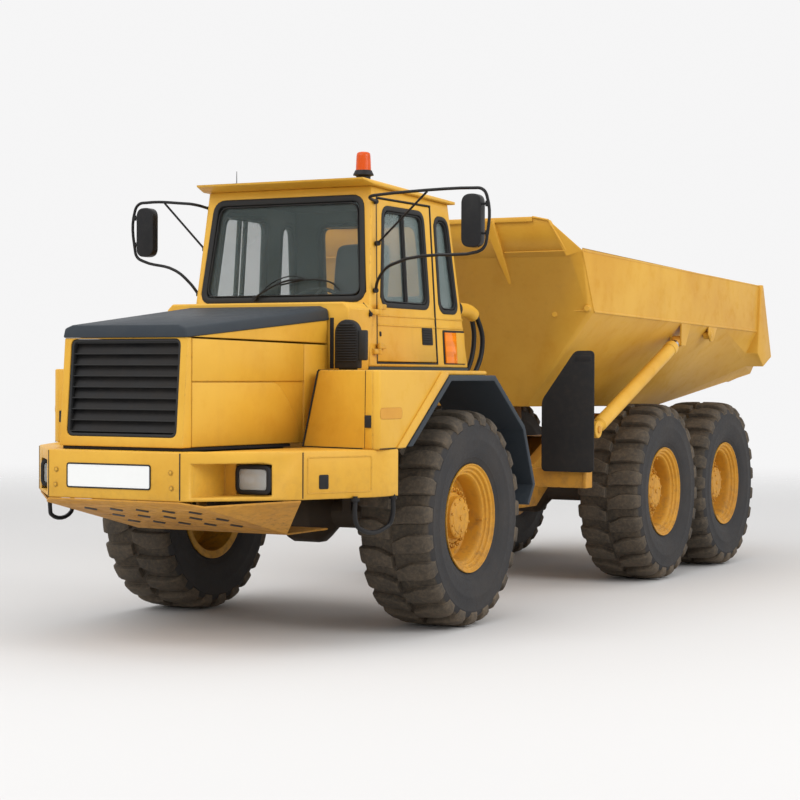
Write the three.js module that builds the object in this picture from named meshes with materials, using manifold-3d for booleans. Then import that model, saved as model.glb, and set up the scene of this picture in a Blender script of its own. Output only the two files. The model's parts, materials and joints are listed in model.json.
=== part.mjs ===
// Articulated dump truck with six driven wheels, as separate solids in millimetres.
// +Z is up, the truck faces -Y and its left side is +X. Stations along Y are counted
// from the front axle, and the whole truck is moved at the end so that its bounding
// box stands centred on the origin.
import * as THREE from 'three';
import { mergeVertices } from 'three/addons/utils/BufferGeometryUtils.js';
import { ConvexGeometry } from 'three/addons/geometries/ConvexGeometry.js';
import Module from 'manifold-3d';

const wasm = await Module();
wasm.setup();

// ---------------------------------------------------------------- driving dimensions
const SEAT_GAP = 0.3;          // between pieces that rest on or in each other
const RUN_GAP = 6;             // between pieces that move past each other
const PIN_GAP = 2;             // radial, between a pin and what turns on it

const TYRE = { radius: 808, width: 595, outerX: 1430, facets: 32 };
const RIM = { flange: 404, halfWidth: 254, seat: 375, disc: 345, hub: 140, facets: 16 };
const AXLE = { tube: 112, spindle: 90, shoulder: 150, bulge: 235, facets: 16 };
const WHEELBASE = 4000;         // front axle to the first bogie axle
const BOGIE_SPREAD = 1674;
const AXLE_Y = { front: 0, bogie: WHEELBASE, last: WHEELBASE + BOGIE_SPREAD };
const AXLE_Z = TYRE.radius * Math.cos(Math.PI / TYRE.facets);
const WHEEL_X = TYRE.outerX - TYRE.width / 2;

const RAIL = { x0: 340, x1: 430, bottom: 1080, top: 1320, front: -2330, rear: 1080 };
const PIVOT = { y: 1350, pin: 60, sleeve: 130, low: 870, high: 1230, plate: 60, lug: 165 };
const ROLL = { z: 1050, shaft: 118, ring: 190, front: 1800, rear: 2150 };
const REAR_RAIL = { x0: 330, x1: 440, lowBottom: 680, lowTop: 940, bottom: 960, top: 1260,
  knee: WHEELBASE - 750, rise: WHEELBASE - 300, rear: WHEELBASE + 2170 };
const BOGIE = { x0: 600, x1: 730, pivotY: WHEELBASE + BOGIE_SPREAD / 2, crossTube: 90 };

const HOOD = { frontY: -2456, rearY: -520, frontHalf: 500, rearHalf: 655, bottom: 1375,
  frontTop: 2100, lidFront: 2186, lidRear: 2385, edgeRear: 2279, seamRear: 2075,
  lidEnd: -800, skirtEnd: -820, panelEnd: -812, sheet: 28, rake: 60 };
const GRILLE = { half: 448, bottom: 1440, top: 2085, depth: 40 };
const BUMPER = { frontY: -2540, frontHalf: 530, cornerX: 1093, cornerY: -1925, kneeX: 1350,
  kneeY: -1395, endX: 1395, endY: -1150, bottom: 1030, top: 1352, wall: 30, tieX: 420 };
const LAMP = { x0: 672, x1: 950, faceY: -2078, bottom: 1064, top: 1266, depth: 120 };
const CAB = { bottom: 1920, halfBottom: 800, halfTop: 717, frontBottom: -500, frontTop: -335,
  rearBottom: 1115, rearTop: 905, topFront: 3258, topRear: 3212, wall: 60, floor: 60 };
const FENDER = { outerX: 1380, innerX: CAB.halfBottom + 2 * SEAT_GAP, hoodX: 675,
  frontOuterY: -1410, footY: -1228, headY: -1020, top: 1893, crestY: 256,
  cabY: CAB.frontBottom - 8, tyreX: 790 };
const COWL = { half: CAB.halfBottom - 10, lowHalf: FENDER.hoodX - SEAT_GAP,
  frontY: HOOD.lidEnd + RUN_GAP, bottom: 1400, top: 2384, round: 45, sheet: 24 };
const INTAKE = { x0: 708, x1: 905, depth: 66, top: 2256, boxX: 960, boxLow: 1960, boxTop: 2180 };
const ROOF = { front: -360, visor: -490, visorHalf: 730, visorSheet: 16, rear: 950, half: 760,
  lip: 22, crownHalf: 640, rise: 42 };
const DOOR = { frontLow: -372, frontHigh: -262, rear: 575, bottom: 1958, top: 3165,
  hingeX: CAB.halfBottom + 22, hingeY: -392 };
const PANE = { set: 22, thick: 8 };
const BODY = { half: 1350, wall: 26, rail: 110, floorHalf: 630, floorFront: 1590, floorMid: 1560,
  hingeY: WHEELBASE + 2000, hingeZ: 1440, pin: 32, frontY: WHEELBASE - 1390,
  kneeY: WHEELBASE + 1700, tailY: WHEELBASE + 3140, tailFloor: 1890 };
const HOIST = { x: 1290, baseY: WHEELBASE - 1440, baseZ: 1400, topY: WHEELBASE + 560,
  topZ: 2190, barrel: 70, rod: 42, eye: 72, head: 50, pin: 28, halfWidth: 42 };
const MIRROR = { y: -470, leftReach: 1752, rightReach: 1332, tube: 12 };
const REAR_END = BODY.tailY + 330;
const FLAP_Y = HOIST.baseY - 108;

const leftExtent = MIRROR.leftReach + MIRROR.tube;
const ORIGIN_X = (leftExtent - TYRE.outerX) / 2;
const ORIGIN_Y = (BUMPER.frontY + REAR_END) / 2;

// ---------------------------------------------------------------- finishes
const finish = (color, roughness, metalness = 0) =>
  new THREE.MeshStandardMaterial({ color, roughness, metalness });
const YELLOW = finish(0xe3a62f, 0.5);
const FRAME_YELLOW = finish(0xc98a22, 0.65);
const SLATE = finish(0x4a535d, 0.6);
const BLACK = finish(0x1d1d1e, 0.7);
const RUBBER = finish(0x3a3632, 0.9);
const STEEL = finish(0x8c8a86, 0.4, 0.9);
const GLASS = finish(0x9fb0b2, 0.08);
const LENS = finish(0xd9dbd8, 0.15);
const AMBER = finish(0xe86c12, 0.3);
const FABRIC = finish(0x3f444b, 0.95);

// ---------------------------------------------------------------- shape helpers
// A closed geometry as a solid that can be joined and cut.
function solid(geometry) {
  const plain = geometry.clone();
  plain.deleteAttribute('normal');
  plain.deleteAttribute('uv');
  const merged = mergeVertices(plain, 0.001);
  return new wasm.Manifold(new wasm.Mesh({
    numProp: 3,
    vertProperties: new Float32Array(merged.attributes.position.array),
    triVerts: new Uint32Array(merged.index.array),
  }));
}

const join = (...parts) => parts.reduce((sum, part) => sum.add(part));
const cut = (body, ...tools) => tools.reduce((left, tool) => left.subtract(tool), body);

function block(x0, x1, y0, y1, z0, z1) {
  const box = new THREE.BoxGeometry(x1 - x0, y1 - y0, z1 - z0);
  return solid(box.translate((x0 + x1) / 2, (y0 + y1) / 2, (z0 + z1) / 2));
}

const hull = (points) => solid(new ConvexGeometry(points.map((p) => new THREE.Vector3(...p))));
const bothSides = (points) => points.flatMap(([x, y, z]) => [[x, y, z], [-x, y, z]]);

// The axes that a drawn outline's u, v and its depth run along.
const PLANES = {
  yz: [[0, 1, 0], [0, 0, 1], [1, 0, 0]],
  xz: [[1, 0, 0], [0, 0, 1], [0, -1, 0]],
  xy: [[1, 0, 0], [0, 1, 0], [0, 0, 1]],
};

// An outline drawn in one plane, with depth from low to high across it.
function prism(plane, outline, low, high) {
  const shape = new THREE.Shape(outline.map(([u, v]) => new THREE.Vector2(u, v)));
  const geometry = new THREE.ExtrudeGeometry(shape, { depth: high - low, bevelEnabled: false });
  geometry.translate(0, 0, plane === 'xz' ? -high : low);
  const [u, v, w] = PLANES[plane].map((axis) => new THREE.Vector3(...axis));
  return solid(geometry.applyMatrix4(new THREE.Matrix4().makeBasis(u, v, w)));
}

function roundBar(axis, radius, low, high, a, b, facets = 16) {
  const bar = new THREE.CylinderGeometry(radius, radius, high - low, facets);
  const middle = (low + high) / 2;
  if (axis === 'x') return solid(bar.rotateZ(-Math.PI / 2).translate(middle, a, b));
  if (axis === 'z') return solid(bar.rotateX(Math.PI / 2).translate(a, b, middle));
  return solid(bar.translate(a, middle, b));
}

// A round bar or a ring's blank between any two points.
function barBetween(from, to, radius, facets = 16) {
  const start = new THREE.Vector3(...from);
  const run = new THREE.Vector3(...to).sub(start);
  const bar = new THREE.CylinderGeometry(radius, radius, run.length(), facets);
  const turn = new THREE.Quaternion().setFromUnitVectors(
    new THREE.Vector3(0, 1, 0), run.clone().normalize());
  bar.applyQuaternion(turn);
  const centre = start.addScaledVector(run, 0.5);
  return solid(bar.translate(centre.x, centre.y, centre.z));
}

// A profile of [radius, place along X] turned about the X axis.
function turnedAboutX(profile, facets) {
  const points = profile.map(([radius, x]) => new THREE.Vector2(radius, x));
  const geometry = new THREE.LatheGeometry(points, facets);
  return geometry.rotateZ(-Math.PI / 2).rotateX(Math.PI / facets);
}

// A bent round tube through a few points.
function bentTube(points, radius, sides = 8, stepsPerLeg = 3) {
  const path = new THREE.CatmullRomCurve3(
    points.map((p) => new THREE.Vector3(...p)), false, 'catmullrom', 0.2);
  const section = new THREE.Shape(Array.from({ length: sides }, (_, i) => {
    const angle = (2 * Math.PI * i) / sides;
    return new THREE.Vector2(radius * Math.cos(angle), radius * Math.sin(angle));
  }));
  const steps = stepsPerLeg * (points.length - 1);
  const settings = { steps, extrudePath: path, bevelEnabled: false };
  return solid(new THREE.ExtrudeGeometry(section, settings));
}

const mirrored = (body) => body.mirror([1, 0, 0]);

const truck = new THREE.Group();

// Adds one finished solid to the truck under its own name.
function add(name, body, material) {
  const { vertProperties, triVerts, numProp } = body.getMesh();
  const geometry = new THREE.BufferGeometry();
  const places = new Float32Array((vertProperties.length / numProp) * 3);
  places.forEach((_, i) => {
    places[i] = vertProperties[Math.floor(i / 3) * numProp + (i % 3)];
  });
  geometry.setAttribute('position', new THREE.BufferAttribute(places, 3));
  geometry.setIndex(new THREE.BufferAttribute(new Uint32Array(triVerts), 1));
  const mesh = new THREE.Mesh(geometry, material);
  mesh.name = name;
  truck.add(mesh);
}

// Adds a left piece and its mirror image.
function addPair(name, body, material) {
  add(`${name}_left`, body, material);
  add(`${name}_right`, mirrored(body), material);
}

const between = (a, b, t) => a + (b - a) * t;

// ---------------------------------------------------------------- wheels
function tyreSolid() {
  const half = TYRE.width / 2;
  const bead = (RIM.seat + SEAT_GAP) / Math.cos(Math.PI / TYRE.facets);
  const side = [[bead, 221], [416, 230], [452, 272], [600, half], [742, 274]];
  const left = side.map(([r, x]) => [r, -x]);
  const profile = [...left, [TYRE.radius, -212], [TYRE.radius, 212], ...side.reverse()];
  return solid(turnedAboutX([...profile, profile[0]], TYRE.facets));
}

// Outer side towards +X: flanges, bead seats, dish, and a hub with a blind bore.
function rimSolid() {
  const { flange, halfWidth, seat, disc, hub } = RIM;
  const bore = AXLE.spindle + PIN_GAP + 1;
  const profile = [
    [0, 168], [hub - 28, 168], [hub, 120], [hub, 52], [disc - 12, 70], [disc, 150],
    [flange - 44, halfWidth - 8], [flange, halfWidth], [flange, 238], [seat, 224],
    [seat, -224], [flange, -238], [flange, -halfWidth], [disc, -halfWidth + 10],
    [disc - 12, 24], [hub, 12], [hub, -60], [bore, -60], [bore, 108], [0, 108],
  ];
  return solid(turnedAboutX(profile.reverse(), RIM.facets));
}

function wheels() {
  const tyre = tyreSolid();
  const rim = rimSolid();
  for (const [row, y] of Object.entries(AXLE_Y)) {
    const place = [WHEEL_X, y, AXLE_Z];
    addPair(`tyre_${row}`, tyre.translate(place), RUBBER);
    addPair(`rim_${row}`, rim.translate(place), YELLOW);
  }
}

// The axle casing, from the middle out to its spindle's end.
function axleBeam(y) {
  const face = WHEEL_X - 60 - SEAT_GAP;
  const end = WHEEL_X + 104;
  const half = [[AXLE.bulge, 120], [AXLE.tube, 250], [AXLE.tube, 820], [AXLE.shoulder, 845],
    [AXLE.shoulder, face], [AXLE.spindle, face], [AXLE.spindle, end], [0, end]];
  const profile = [...half.map(([r, x]) => [r, -x]).reverse(), ...half];
  return solid(turnedAboutX(profile, AXLE.facets).translate(0, y, AXLE_Z));
}

// ---------------------------------------------------------------- front chassis
function frontFrame() {
  const { x0, x1, bottom, top, front, rear } = RAIL;
  const rail = block(x0, x1, front, rear, bottom, top);
  const mountTop = CAB.bottom - CAB.floor - SEAT_GAP;
  const posts = [-420, 960].map((y) => block(x0, x1 + 90, y - 45, y + 45, top - 1, mountTop));
  const side = join(rail, ...posts);
  const noseBeam = block(-x1, x1, front, front + 60, bottom, top);
  const tailBeam = block(-x1, x1, rear - 130, rear, PIVOT.low - PIVOT.plate, top);
  const plate = (z0, z1) => join(
    block(-PIVOT.lug, PIVOT.lug, rear - 10, PIVOT.y, z0, z1),
    roundBar('z', PIVOT.lug, z0, z1, 0, PIVOT.y, 24));
  const pin = roundBar('z', PIVOT.pin, PIVOT.low - PIVOT.plate - 20, PIVOT.high + PIVOT.plate + 20,
    0, PIVOT.y, 24);
  return join(side, mirrored(side), noseBeam, tailBeam,
    plate(PIVOT.low - PIVOT.plate, PIVOT.low), plate(PIVOT.high, PIVOT.high + PIVOT.plate), pin);
}

function frontAxle() {
  const pad = block(RAIL.x0 + 5, RAIL.x1 - 5, -110, 110, AXLE_Z, RAIL.bottom - SEAT_GAP);
  return join(axleBeam(AXLE_Y.front), pad, mirrored(pad));
}

// Half of the bumper's plan outline, moved inwards by a wall.
function bumperPlan(inset) {
  const { frontY, frontHalf, cornerX, cornerY, kneeX, kneeY, endX, endY } = BUMPER;
  return [[frontHalf - inset * 0.35, frontY + inset], [cornerX - inset * 0.85, cornerY + inset * 0.5],
    [kneeX - inset, kneeY + inset * 0.1], [endX - inset, endY]];
}

const closedPlan = (half) => [...half, ...half.map(([x, y]) => [-x, y]).reverse()];

function bumper() {
  const { bottom, top, wall, endY } = BUMPER;
  const outer = prism('xy', closedPlan(bumperPlan(0)), bottom, top);
  const inner = prism('xy', closedPlan(bumperPlan(wall).map(([x, y]) => [x, y === endY ? y + 1 : y])),
    bottom - 1, top - wall);
  const hoodWell = prism('xy', closedPlan([
    [HOOD.frontHalf + 90, HOOD.frontY + 120], [FENDER.hoodX + 60, -1250],
    [FENDER.hoodX + 60, endY + 1]]), top - wall - 1, top + 1);
  const notchInner = LAMP.x0 - 90;
  const notch = block(notchInner, LAMP.x1 + 8, BUMPER.frontY - 1, LAMP.faceY, LAMP.bottom - 8,
    LAMP.top + 8);
  const socket = block(notchInner - wall, LAMP.x1 + 8 + wall, cornerLine(notchInner) + 40,
    LAMP.faceY + LAMP.depth, LAMP.bottom - 8 - wall, LAMP.top + 8 + wall);
  const lampHole = block(LAMP.x0 - SEAT_GAP, LAMP.x1 + SEAT_GAP, LAMP.faceY - 1,
    LAMP.faceY + LAMP.depth + 1, LAMP.bottom - SEAT_GAP, LAMP.top + SEAT_GAP);
  const shell = cut(outer, inner, hoodWell);
  const boxed = join(shell, socket.intersect(outer), mirrored(socket).intersect(outer));
  const step = bentTube([[1287, -1560, bottom + 15], [1289, -1556, 860], [1298, -1530, 826],
    [1352, -1225, 826], [1368, -1195, 860], [1373, -1190, bottom + 15]], 14, 6, 2);
  return join(cut(boxed, notch, mirrored(notch), lampHole, mirrored(lampHole)), step,
    mirrored(step), block(-BUMPER.tieX, BUMPER.tieX, BUMPER.frontY + wall - 1,
      RAIL.front - SEAT_GAP, RAIL.bottom + 20, RAIL.top - 20));
}
// Y of the bumper's slanted side at a given X.
function cornerLine(x) {
  const { frontHalf, frontY, cornerX, cornerY } = BUMPER;
  return between(frontY, cornerY, (x - frontHalf) / (cornerX - frontHalf));
}

// A pan under the nose that slopes down and back, with drain slots.
function bellyPlate() {
  const [sheet, half, low] = [14, 640, 742];
  const top = RAIL.bottom - SEAT_GAP;
  const tip = BUMPER.frontY + 5;
  const tipTop = BUMPER.bottom - SEAT_GAP;
  const outline = [[tip, tipTop - sheet], [-1360, low], [-820, low], [-820, low + sheet],
    [-1357, low + sheet], [tip, tipTop]];
  const wing = hull([[half - 12, -2412, 987], [half - 12, -1362, low + 1],
    [1082, -1925, tipTop - sheet]].flatMap(([x, y, z]) => [[x, y, z], [x, y, z + sheet]]));
  let pan = join(prism('yz', outline, -half, half), wing, mirrored(wing))
    .intersect(join(prism('xy', closedPlan(bumperPlan(4)), low - 1, BUMPER.bottom),
      block(-half, half, -1400, -800, low - 1, BUMPER.bottom)));
  const slots = [];
  for (const x of [-430, -215, 0, 215, 430]) {
    for (const y of [-2200, -1950, -1700]) slots.push(block(x - 45, x + 45, y, y + 38, 700, 1060));
  }
  pan = cut(pan, ...slots);
  const hanger = join(
    block(RAIL.x0 + 10, RAIL.x0 + 40, -2260, -2160, 950, top),
    block(RAIL.x0 + 10, RAIL.x0 + 40, -1000, -900, 750, top));
  return join(pan, hanger, mirrored(hanger));
}

const headlamp = () => block(LAMP.x0, LAMP.x1, LAMP.faceY + 4, LAMP.faceY + LAMP.depth, LAMP.bottom,
  LAMP.top);

// ---------------------------------------------------------------- hood
// A measure that runs evenly from the hood's front to its rear.
const alongHood = (front, rear, start = HOOD.frontY + HOOD.rake) => (y) =>
  between(front, rear, (y - start) / (HOOD.rearY - start));
const hoodHalf = alongHood(HOOD.frontHalf, HOOD.rearHalf, HOOD.frontY);
const lidTop = alongHood(HOOD.lidFront, HOOD.lidRear);
const lidEdge = alongHood(HOOD.frontTop, HOOD.edgeRear);
const seam = alongHood(HOOD.frontTop - SEAT_GAP, HOOD.seamRear);

// The fixed lower hood: a grille surround and two side panels, open at the back.
function hoodPanels() {
  const { frontY, frontHalf, bottom, rake, sheet } = HOOD;
  const rear = HOOD.panelEnd;
  const outer = hull(bothSides([[hoodHalf(frontY), frontY, bottom],
    [hoodHalf(frontY + rake), frontY + rake, seam(frontY + rake)],
    [hoodHalf(rear), rear, bottom], [hoodHalf(rear), rear, seam(rear)]]));
  const inner = hull(bothSides([
    [frontHalf - sheet, frontY + sheet + 45, bottom - 1],
    [frontHalf - sheet, frontY + rake + sheet + 45, HOOD.frontTop + 5],
    [hoodHalf(rear) - sheet, rear + 1, bottom - 1],
    [hoodHalf(rear) - sheet, rear + 1, HOOD.frontTop + 5],
  ]));
  const opening = block(-GRILLE.half, GRILLE.half, frontY - 1, frontY + rake + 200, GRILLE.bottom,
    GRILLE.top);
  const foot = block(RAIL.x0 + 10, RAIL.x1 - 10, frontY + 26, frontY + 90, BUMPER.top + SEAT_GAP,
    bottom + 40);
  return join(cut(outer, inner, opening), foot, mirrored(foot));
}

// Horizontal slats in a rim, one piece, set into the surround.
function grille() {
  const gap = SEAT_GAP;
  const half = GRILLE.half - gap;
  const [low, high] = [GRILLE.bottom + gap, GRILLE.top - gap];
  const front = HOOD.frontY + 8;
  const back = front + GRILLE.depth;
  let body = cut(block(-half, half, front, back, low, high),
    block(-half + 22, half - 22, front - 1, back - 10, low + 22, high - 22));
  const count = 9;
  for (let i = 1; i < count; i += 1) {
    const z = between(low, high, i / count);
    body = join(body, block(-half + 20, half - 20, front + 4, back - 9, z - 14, z + 14));
  }
  const slope = HOOD.rake / (HOOD.frontTop - HOOD.bottom);
  return body.transform([1, 0, 0, 0, 0, 1, 0, 0, 0, slope, 1, 0, 0, -slope * HOOD.bottom, 0, 1]);
}

// The dark lid, a shallow tray turned upside down.
function hoodLid() {
  const frontY = HOOD.frontY + HOOD.rake;
  const lip = 22;
  const rear = HOOD.lidEnd;
  const ring = (y, drop, inset) => [
    [hoodHalf(y) + 6 - inset, y, lidEdge(y) - drop],
    [hoodHalf(y) - 10 - inset, y, lidTop(y) - 22 - drop],
    [hoodHalf(y) - 70 - inset, y, lidTop(y) - drop]];
  const outer = hull(bothSides([...ring(frontY - 14, 0, 0), ...ring(rear, 0, 0)]));
  const inner = hull(bothSides([...ring(frontY + 16, lip, lip), ...ring(rear - lip, lip, lip)]));
  const below = hull(bothSides([frontY + 16, rear - lip].flatMap((y) => [
    [hoodHalf(y) - 16, y, lidEdge(y) + lip], [hoodHalf(y) - 16, y, lidEdge(y) - 60]])));
  return cut(outer, join(inner, below));
}

// The yellow wedges under the lid, joined across at the back.
function hoodSkirt() {
  const start = HOOD.frontY + HOOD.rake + 60;
  const rear = HOOD.skirtEnd;
  const wall = 24;
  const wedge = hull([start, rear].flatMap((y) => [0, wall].flatMap((inset) => [
    [hoodHalf(y) - 4 - inset, y, lidEdge(y) - SEAT_GAP],
    [hoodHalf(y) - 4 - inset, y, Math.max(seam(y) + RUN_GAP, HOOD.seamRear + RUN_GAP)]])));
  const tie = block(-hoodHalf(rear) + 10, hoodHalf(rear) - 10, rear - wall, rear,
    lidEdge(rear) - 90, lidEdge(rear) - 40);
  return join(wedge, mirrored(wedge), tie);
}

const engine = () => join(
  block(-RAIL.x0 + 20, RAIL.x0 - 20, -2050, -900, 1060, 1860),
  block(-RAIL.x0 + SEAT_GAP, RAIL.x0 - SEAT_GAP, -1500, -1400, 1150, 1250));

// ---------------------------------------------------------------- cab
// The cab's tapered outline, moved inwards, and stretched past its ends.
function cabHull(inset, past = 0) {
  const { bottom, topFront, topRear } = CAB;
  const height = (topFront + topRear) / 2 - bottom;
  const t0 = -past / height;
  const t1 = 1 + past / height;
  const corner = (t, front) => [
    between(CAB.halfBottom, CAB.halfTop, t) - inset,
    front ? between(CAB.frontBottom, CAB.frontTop, t) + inset
      : between(CAB.rearBottom, CAB.rearTop, t) - inset,
    between(bottom, front ? topFront : topRear, t)];
  return hull(bothSides([corner(t0, true), corner(t0, false), corner(t1, true), corner(t1, false)]));
}

// Window outlines with cut corners, shrunk by an inset.
function windowOutline([u0, u1], [t0, t1], [v0, v1], corner, inset) {
  const [a, b, c, d] = [u0 + inset, u1 - inset, t0 + inset, t1 - inset];
  const [low, high] = [v0 + inset, v1 - inset];
  return [[a + corner, low], [b - corner, low], [b, low + corner], [d, high - corner],
    [d - corner, high], [c + corner, high], [c, high - corner], [a, low + corner]];
}

// Depths across the cab's left and right walls.
const SIDE = [CAB.halfTop - 117, CAB.halfBottom + 100];
const OTHER_SIDE = [-SIDE[1], -SIDE[0]];

// Each window: its plane, outline's low and high edges, and the wall that it crosses.
const WINDOWS = {
  windshield: { plane: 'xz', low: [75 - CAB.halfBottom, CAB.halfBottom - 75],
    high: [62 - CAB.halfTop, CAB.halfTop - 62], v: [2400, 3190], depth: [-560, -250] },
  rear: { plane: 'xz', low: [-500, 500], high: [-470, 470], v: [2450, 3100], depth: [800, 1150] },
  door: { plane: 'yz', low: [-285, 500], high: [-195, 470], v: [2365, 3120], depth: SIDE },
  left: { plane: 'yz', low: [655, 985], high: [640, 870], v: [2345, 3100], depth: SIDE },
  right: { plane: 'yz', low: [-285, 500], high: [-195, 470], v: [2365, 3120], depth: OTHER_SIDE },
  right_rear: { plane: 'yz', low: [655, 985], high: [640, 870], v: [2345, 3100],
    depth: OTHER_SIDE },
};

const windowTool = ({ plane, low, high, v, depth }, inset = 0) =>
  prism(plane, windowOutline(low, high, v, 70, inset), ...depth);

const doorOutline = (grow) => [
  [DOOR.frontLow - grow, DOOR.bottom - grow], [DOOR.rear + grow, DOOR.bottom - grow],
  [DOOR.rear + grow, DOOR.top + grow], [DOOR.frontHigh - grow, DOOR.top + grow]];

const cabWall = () => cut(cabHull(0), cabHull(CAB.wall, 200));

// Two leaves of each hinge stand on the door and on the pillar in front of it.
function hingeLeaf(z0, z1, onDoor) {
  const { hingeX, hingeY } = DOOR;
  const reach = onDoor ? hingeY + 110 : hingeY - 60;
  const foot = onDoor ? reach - 30 : reach + 30;
  const strap = (x0, a, b) => block(x0, hingeX, Math.min(a, b), Math.max(a, b), z0, z1);
  return join(roundBar('z', 16, z0, z1, hingeX, hingeY, 12),
    strap(CAB.halfBottom + 3, hingeY, reach), strap(CAB.halfBottom - 50, foot, reach));
}
const HINGES = [2010, 2300];

// The hollow box under the windshield: wide above the fenders, narrower between them.
function cowl() {
  const { half, lowHalf, frontY, bottom, top, round, sheet } = COWL;
  const seat = FENDER.top + 2 * SEAT_GAP;
  const upper = (inset, low) => hull(bothSides([frontY + inset, CAB.frontBottom + 70 - 3 * inset]
    .flatMap((y) => [[half - inset, y, low], [half - inset, y, top - round],
      [half - round, y, top - inset]])));
  const lower = cut(block(-lowHalf, lowHalf, frontY, CAB.frontBottom - 12, bottom, seat + sheet),
    block(sheet - lowHalf, lowHalf - sheet, frontY + sheet, CAB.frontBottom, bottom - 1, top));
  const floorFront = block(-half, half, CAB.frontBottom - SEAT_GAP, 0, bottom, CAB.bottom);
  return cut(join(upper(0, seat), lower), upper(sheet, seat - 1), cabHull(1, 200), floorFront);
}

function cabShell() {
  const openings = Object.entries(WINDOWS).filter(([name]) => name !== 'door')
    .map(([, window]) => windowTool(window));
  const doorway = prism('yz', doorOutline(RUN_GAP), ...SIDE);
  const base = cut(cabWall(), doorway, ...openings);
  const leaves = HINGES.map((z) => hingeLeaf(z, z + 40, false));
  return join(base, cowl(), ...leaves);
}

function door() {
  const panel = cut(cabWall().intersect(prism('yz', doorOutline(0), ...SIDE)),
    windowTool(WINDOWS.door));
  const leaves = HINGES.map((z) => hingeLeaf(z + 40 + SEAT_GAP, z + 80, true));
  return join(panel, ...leaves);
}

// A pane sits in the middle of its wall, just inside its window's edge.
function pane(name) {
  const layer = cut(cabHull(PANE.set), cabHull(PANE.set + PANE.thick, 10));
  return layer.intersect(windowTool(WINDOWS[name], SEAT_GAP));
}

function cabFloor() {
  const { bottom, floor, halfBottom, frontBottom, rearBottom } = CAB;
  const top = bottom - SEAT_GAP;
  return block(-halfBottom, halfBottom, frontBottom, rearBottom, top - floor + SEAT_GAP, top);
}

// Height of the roof's underside, which lies along the top of the walls.
const eave = (y) => SEAT_GAP + between(CAB.topFront, CAB.topRear,
  (y - CAB.frontTop) / (CAB.rearTop - CAB.frontTop));
const roofCrown = (y) => eave(y) + ROOF.rise;

// Roof whose crown runs out over the windshield as a thin visor, with sloped sides.
function cabRoof() {
  const { front, visor, visorHalf, visorSheet, rear, half, lip, crownHalf } = ROOF;
  return hull(bothSides([
    [half, front, eave(front)], [half, front, eave(front) + lip],
    [half, rear, eave(rear)], [half, rear, eave(rear) + lip],
    [visorHalf, visor, roofCrown(visor)], [visorHalf, visor, roofCrown(visor) - visorSheet],
    [crownHalf, rear - 60, roofCrown(rear - 60)]]));
}

function seat() {
  const deck = CAB.bottom;
  const base = block(-190, 190, 330, 690, deck, deck + 300);
  const cushion = block(-260, 260, 240, 760, deck + 290, deck + 430);
  const back = prism('yz', [[690, deck + 400], [800, deck + 400], [880, deck + 1000],
    [790, deck + 1000]], -240, 240);
  return join(base, cushion, back);
}

function dashboard() {
  const deck = CAB.bottom;
  const deskHalf = CAB.halfBottom - CAB.wall - 40;
  const desk = prism('yz', [[-420, deck], [-250, deck], [-180, deck + 420], [-380, deck + 470]],
    -deskHalf, deskHalf);
  const column = barBetween([0, -260, deck + 320], [0, -15, deck + 490], 28, 12);
  const ring = cut(
    solid(new THREE.CylinderGeometry(215, 215, 28, 24)),
    solid(new THREE.CylinderGeometry(188, 188, 30, 24)));
  const spokes = join(solid(new THREE.BoxGeometry(400, 18, 34)),
    solid(new THREE.BoxGeometry(34, 18, 400)));
  const wheel = join(ring, spokes).rotate([55, 0, 0]).translate([0, -15, deck + 490]);
  return join(desk, column, wheel);
}

const beacon = () => {
  const y = -100;
  const foot = 78;
  const top = roofCrown(y - foot) + SEAT_GAP;
  const profile = [[0, 0], [60, 0], [60, 62], [foot, 64], [70, 104], [60, 110], [54, 215],
    [44, 238], [0, 245]];
  const points = profile.map(([r, z]) => new THREE.Vector2(r, z));
  const turned = new THREE.LatheGeometry(points, 16).rotateX(Math.PI / 2);
  return solid(turned.translate(515, y, top));
};

// ---------------------------------------------------------------- fenders and cab trim
// The arch's line along Y and Z, from its front foot over the wheel to the rear flap's tip.
const ARCH = [[-1015, 1363], [-366, 1860], [376, 1860], [914, 1465], [1112, 1006], [1000, 846]];
const ARCH_INNER = [[-945, 1363], [-352, 1818], [360, 1818], [880, 1440], [1070, 1004], [972, 862]];

function fender() {
  const { outerX, innerX, hoodX, frontOuterY, footY, headY, top, crestY, cabY, tyreX } = FENDER;
  const bottom = BUMPER.top + SEAT_GAP;
  const cornerX = outerX - 45;
  const plan = [[hoodX, footY], [cornerX, frontOuterY], [outerX, frontOuterY + 20],
    [outerX, crestY], [innerX, crestY], [innerX, cabY], [hoodX, cabY]];
  const ahead = frontOuterY - 200;
  const lean = hull([[hoodX - 1, footY, bottom - 1], [hoodX - 1, headY, top + 1],
    ...[bottom - 1, top + 1].flatMap((z) => [[hoodX - 1, ahead, z], [cornerX, ahead, z],
      [cornerX, frontOuterY, z]])]);
  const blockAll = cut(prism('xy', plan, bottom, top), lean);
  const [foot, frontTop, rearTop] = ARCH;
  const slope = (frontTop[1] - foot[1]) / (frontTop[0] - foot[0]);
  const drop = 120;
  const under = [[foot[0] - drop / slope - SEAT_GAP * 2, foot[1] - drop],
    [frontTop[0], frontTop[1] + SEAT_GAP], [rearTop[0], rearTop[1] + SEAT_GAP], [rearTop[0], 0]];
  return cut(blockAll, prism('yz', under, tyreX, outerX + 1));
}

// The dark band round the arch, which goes on behind the wheel as a flap.
function archBand() {
  return prism('yz', [...ARCH, ...[...ARCH_INNER].reverse()], FENDER.innerX + 4,
    FENDER.outerX + 18);
}

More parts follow.
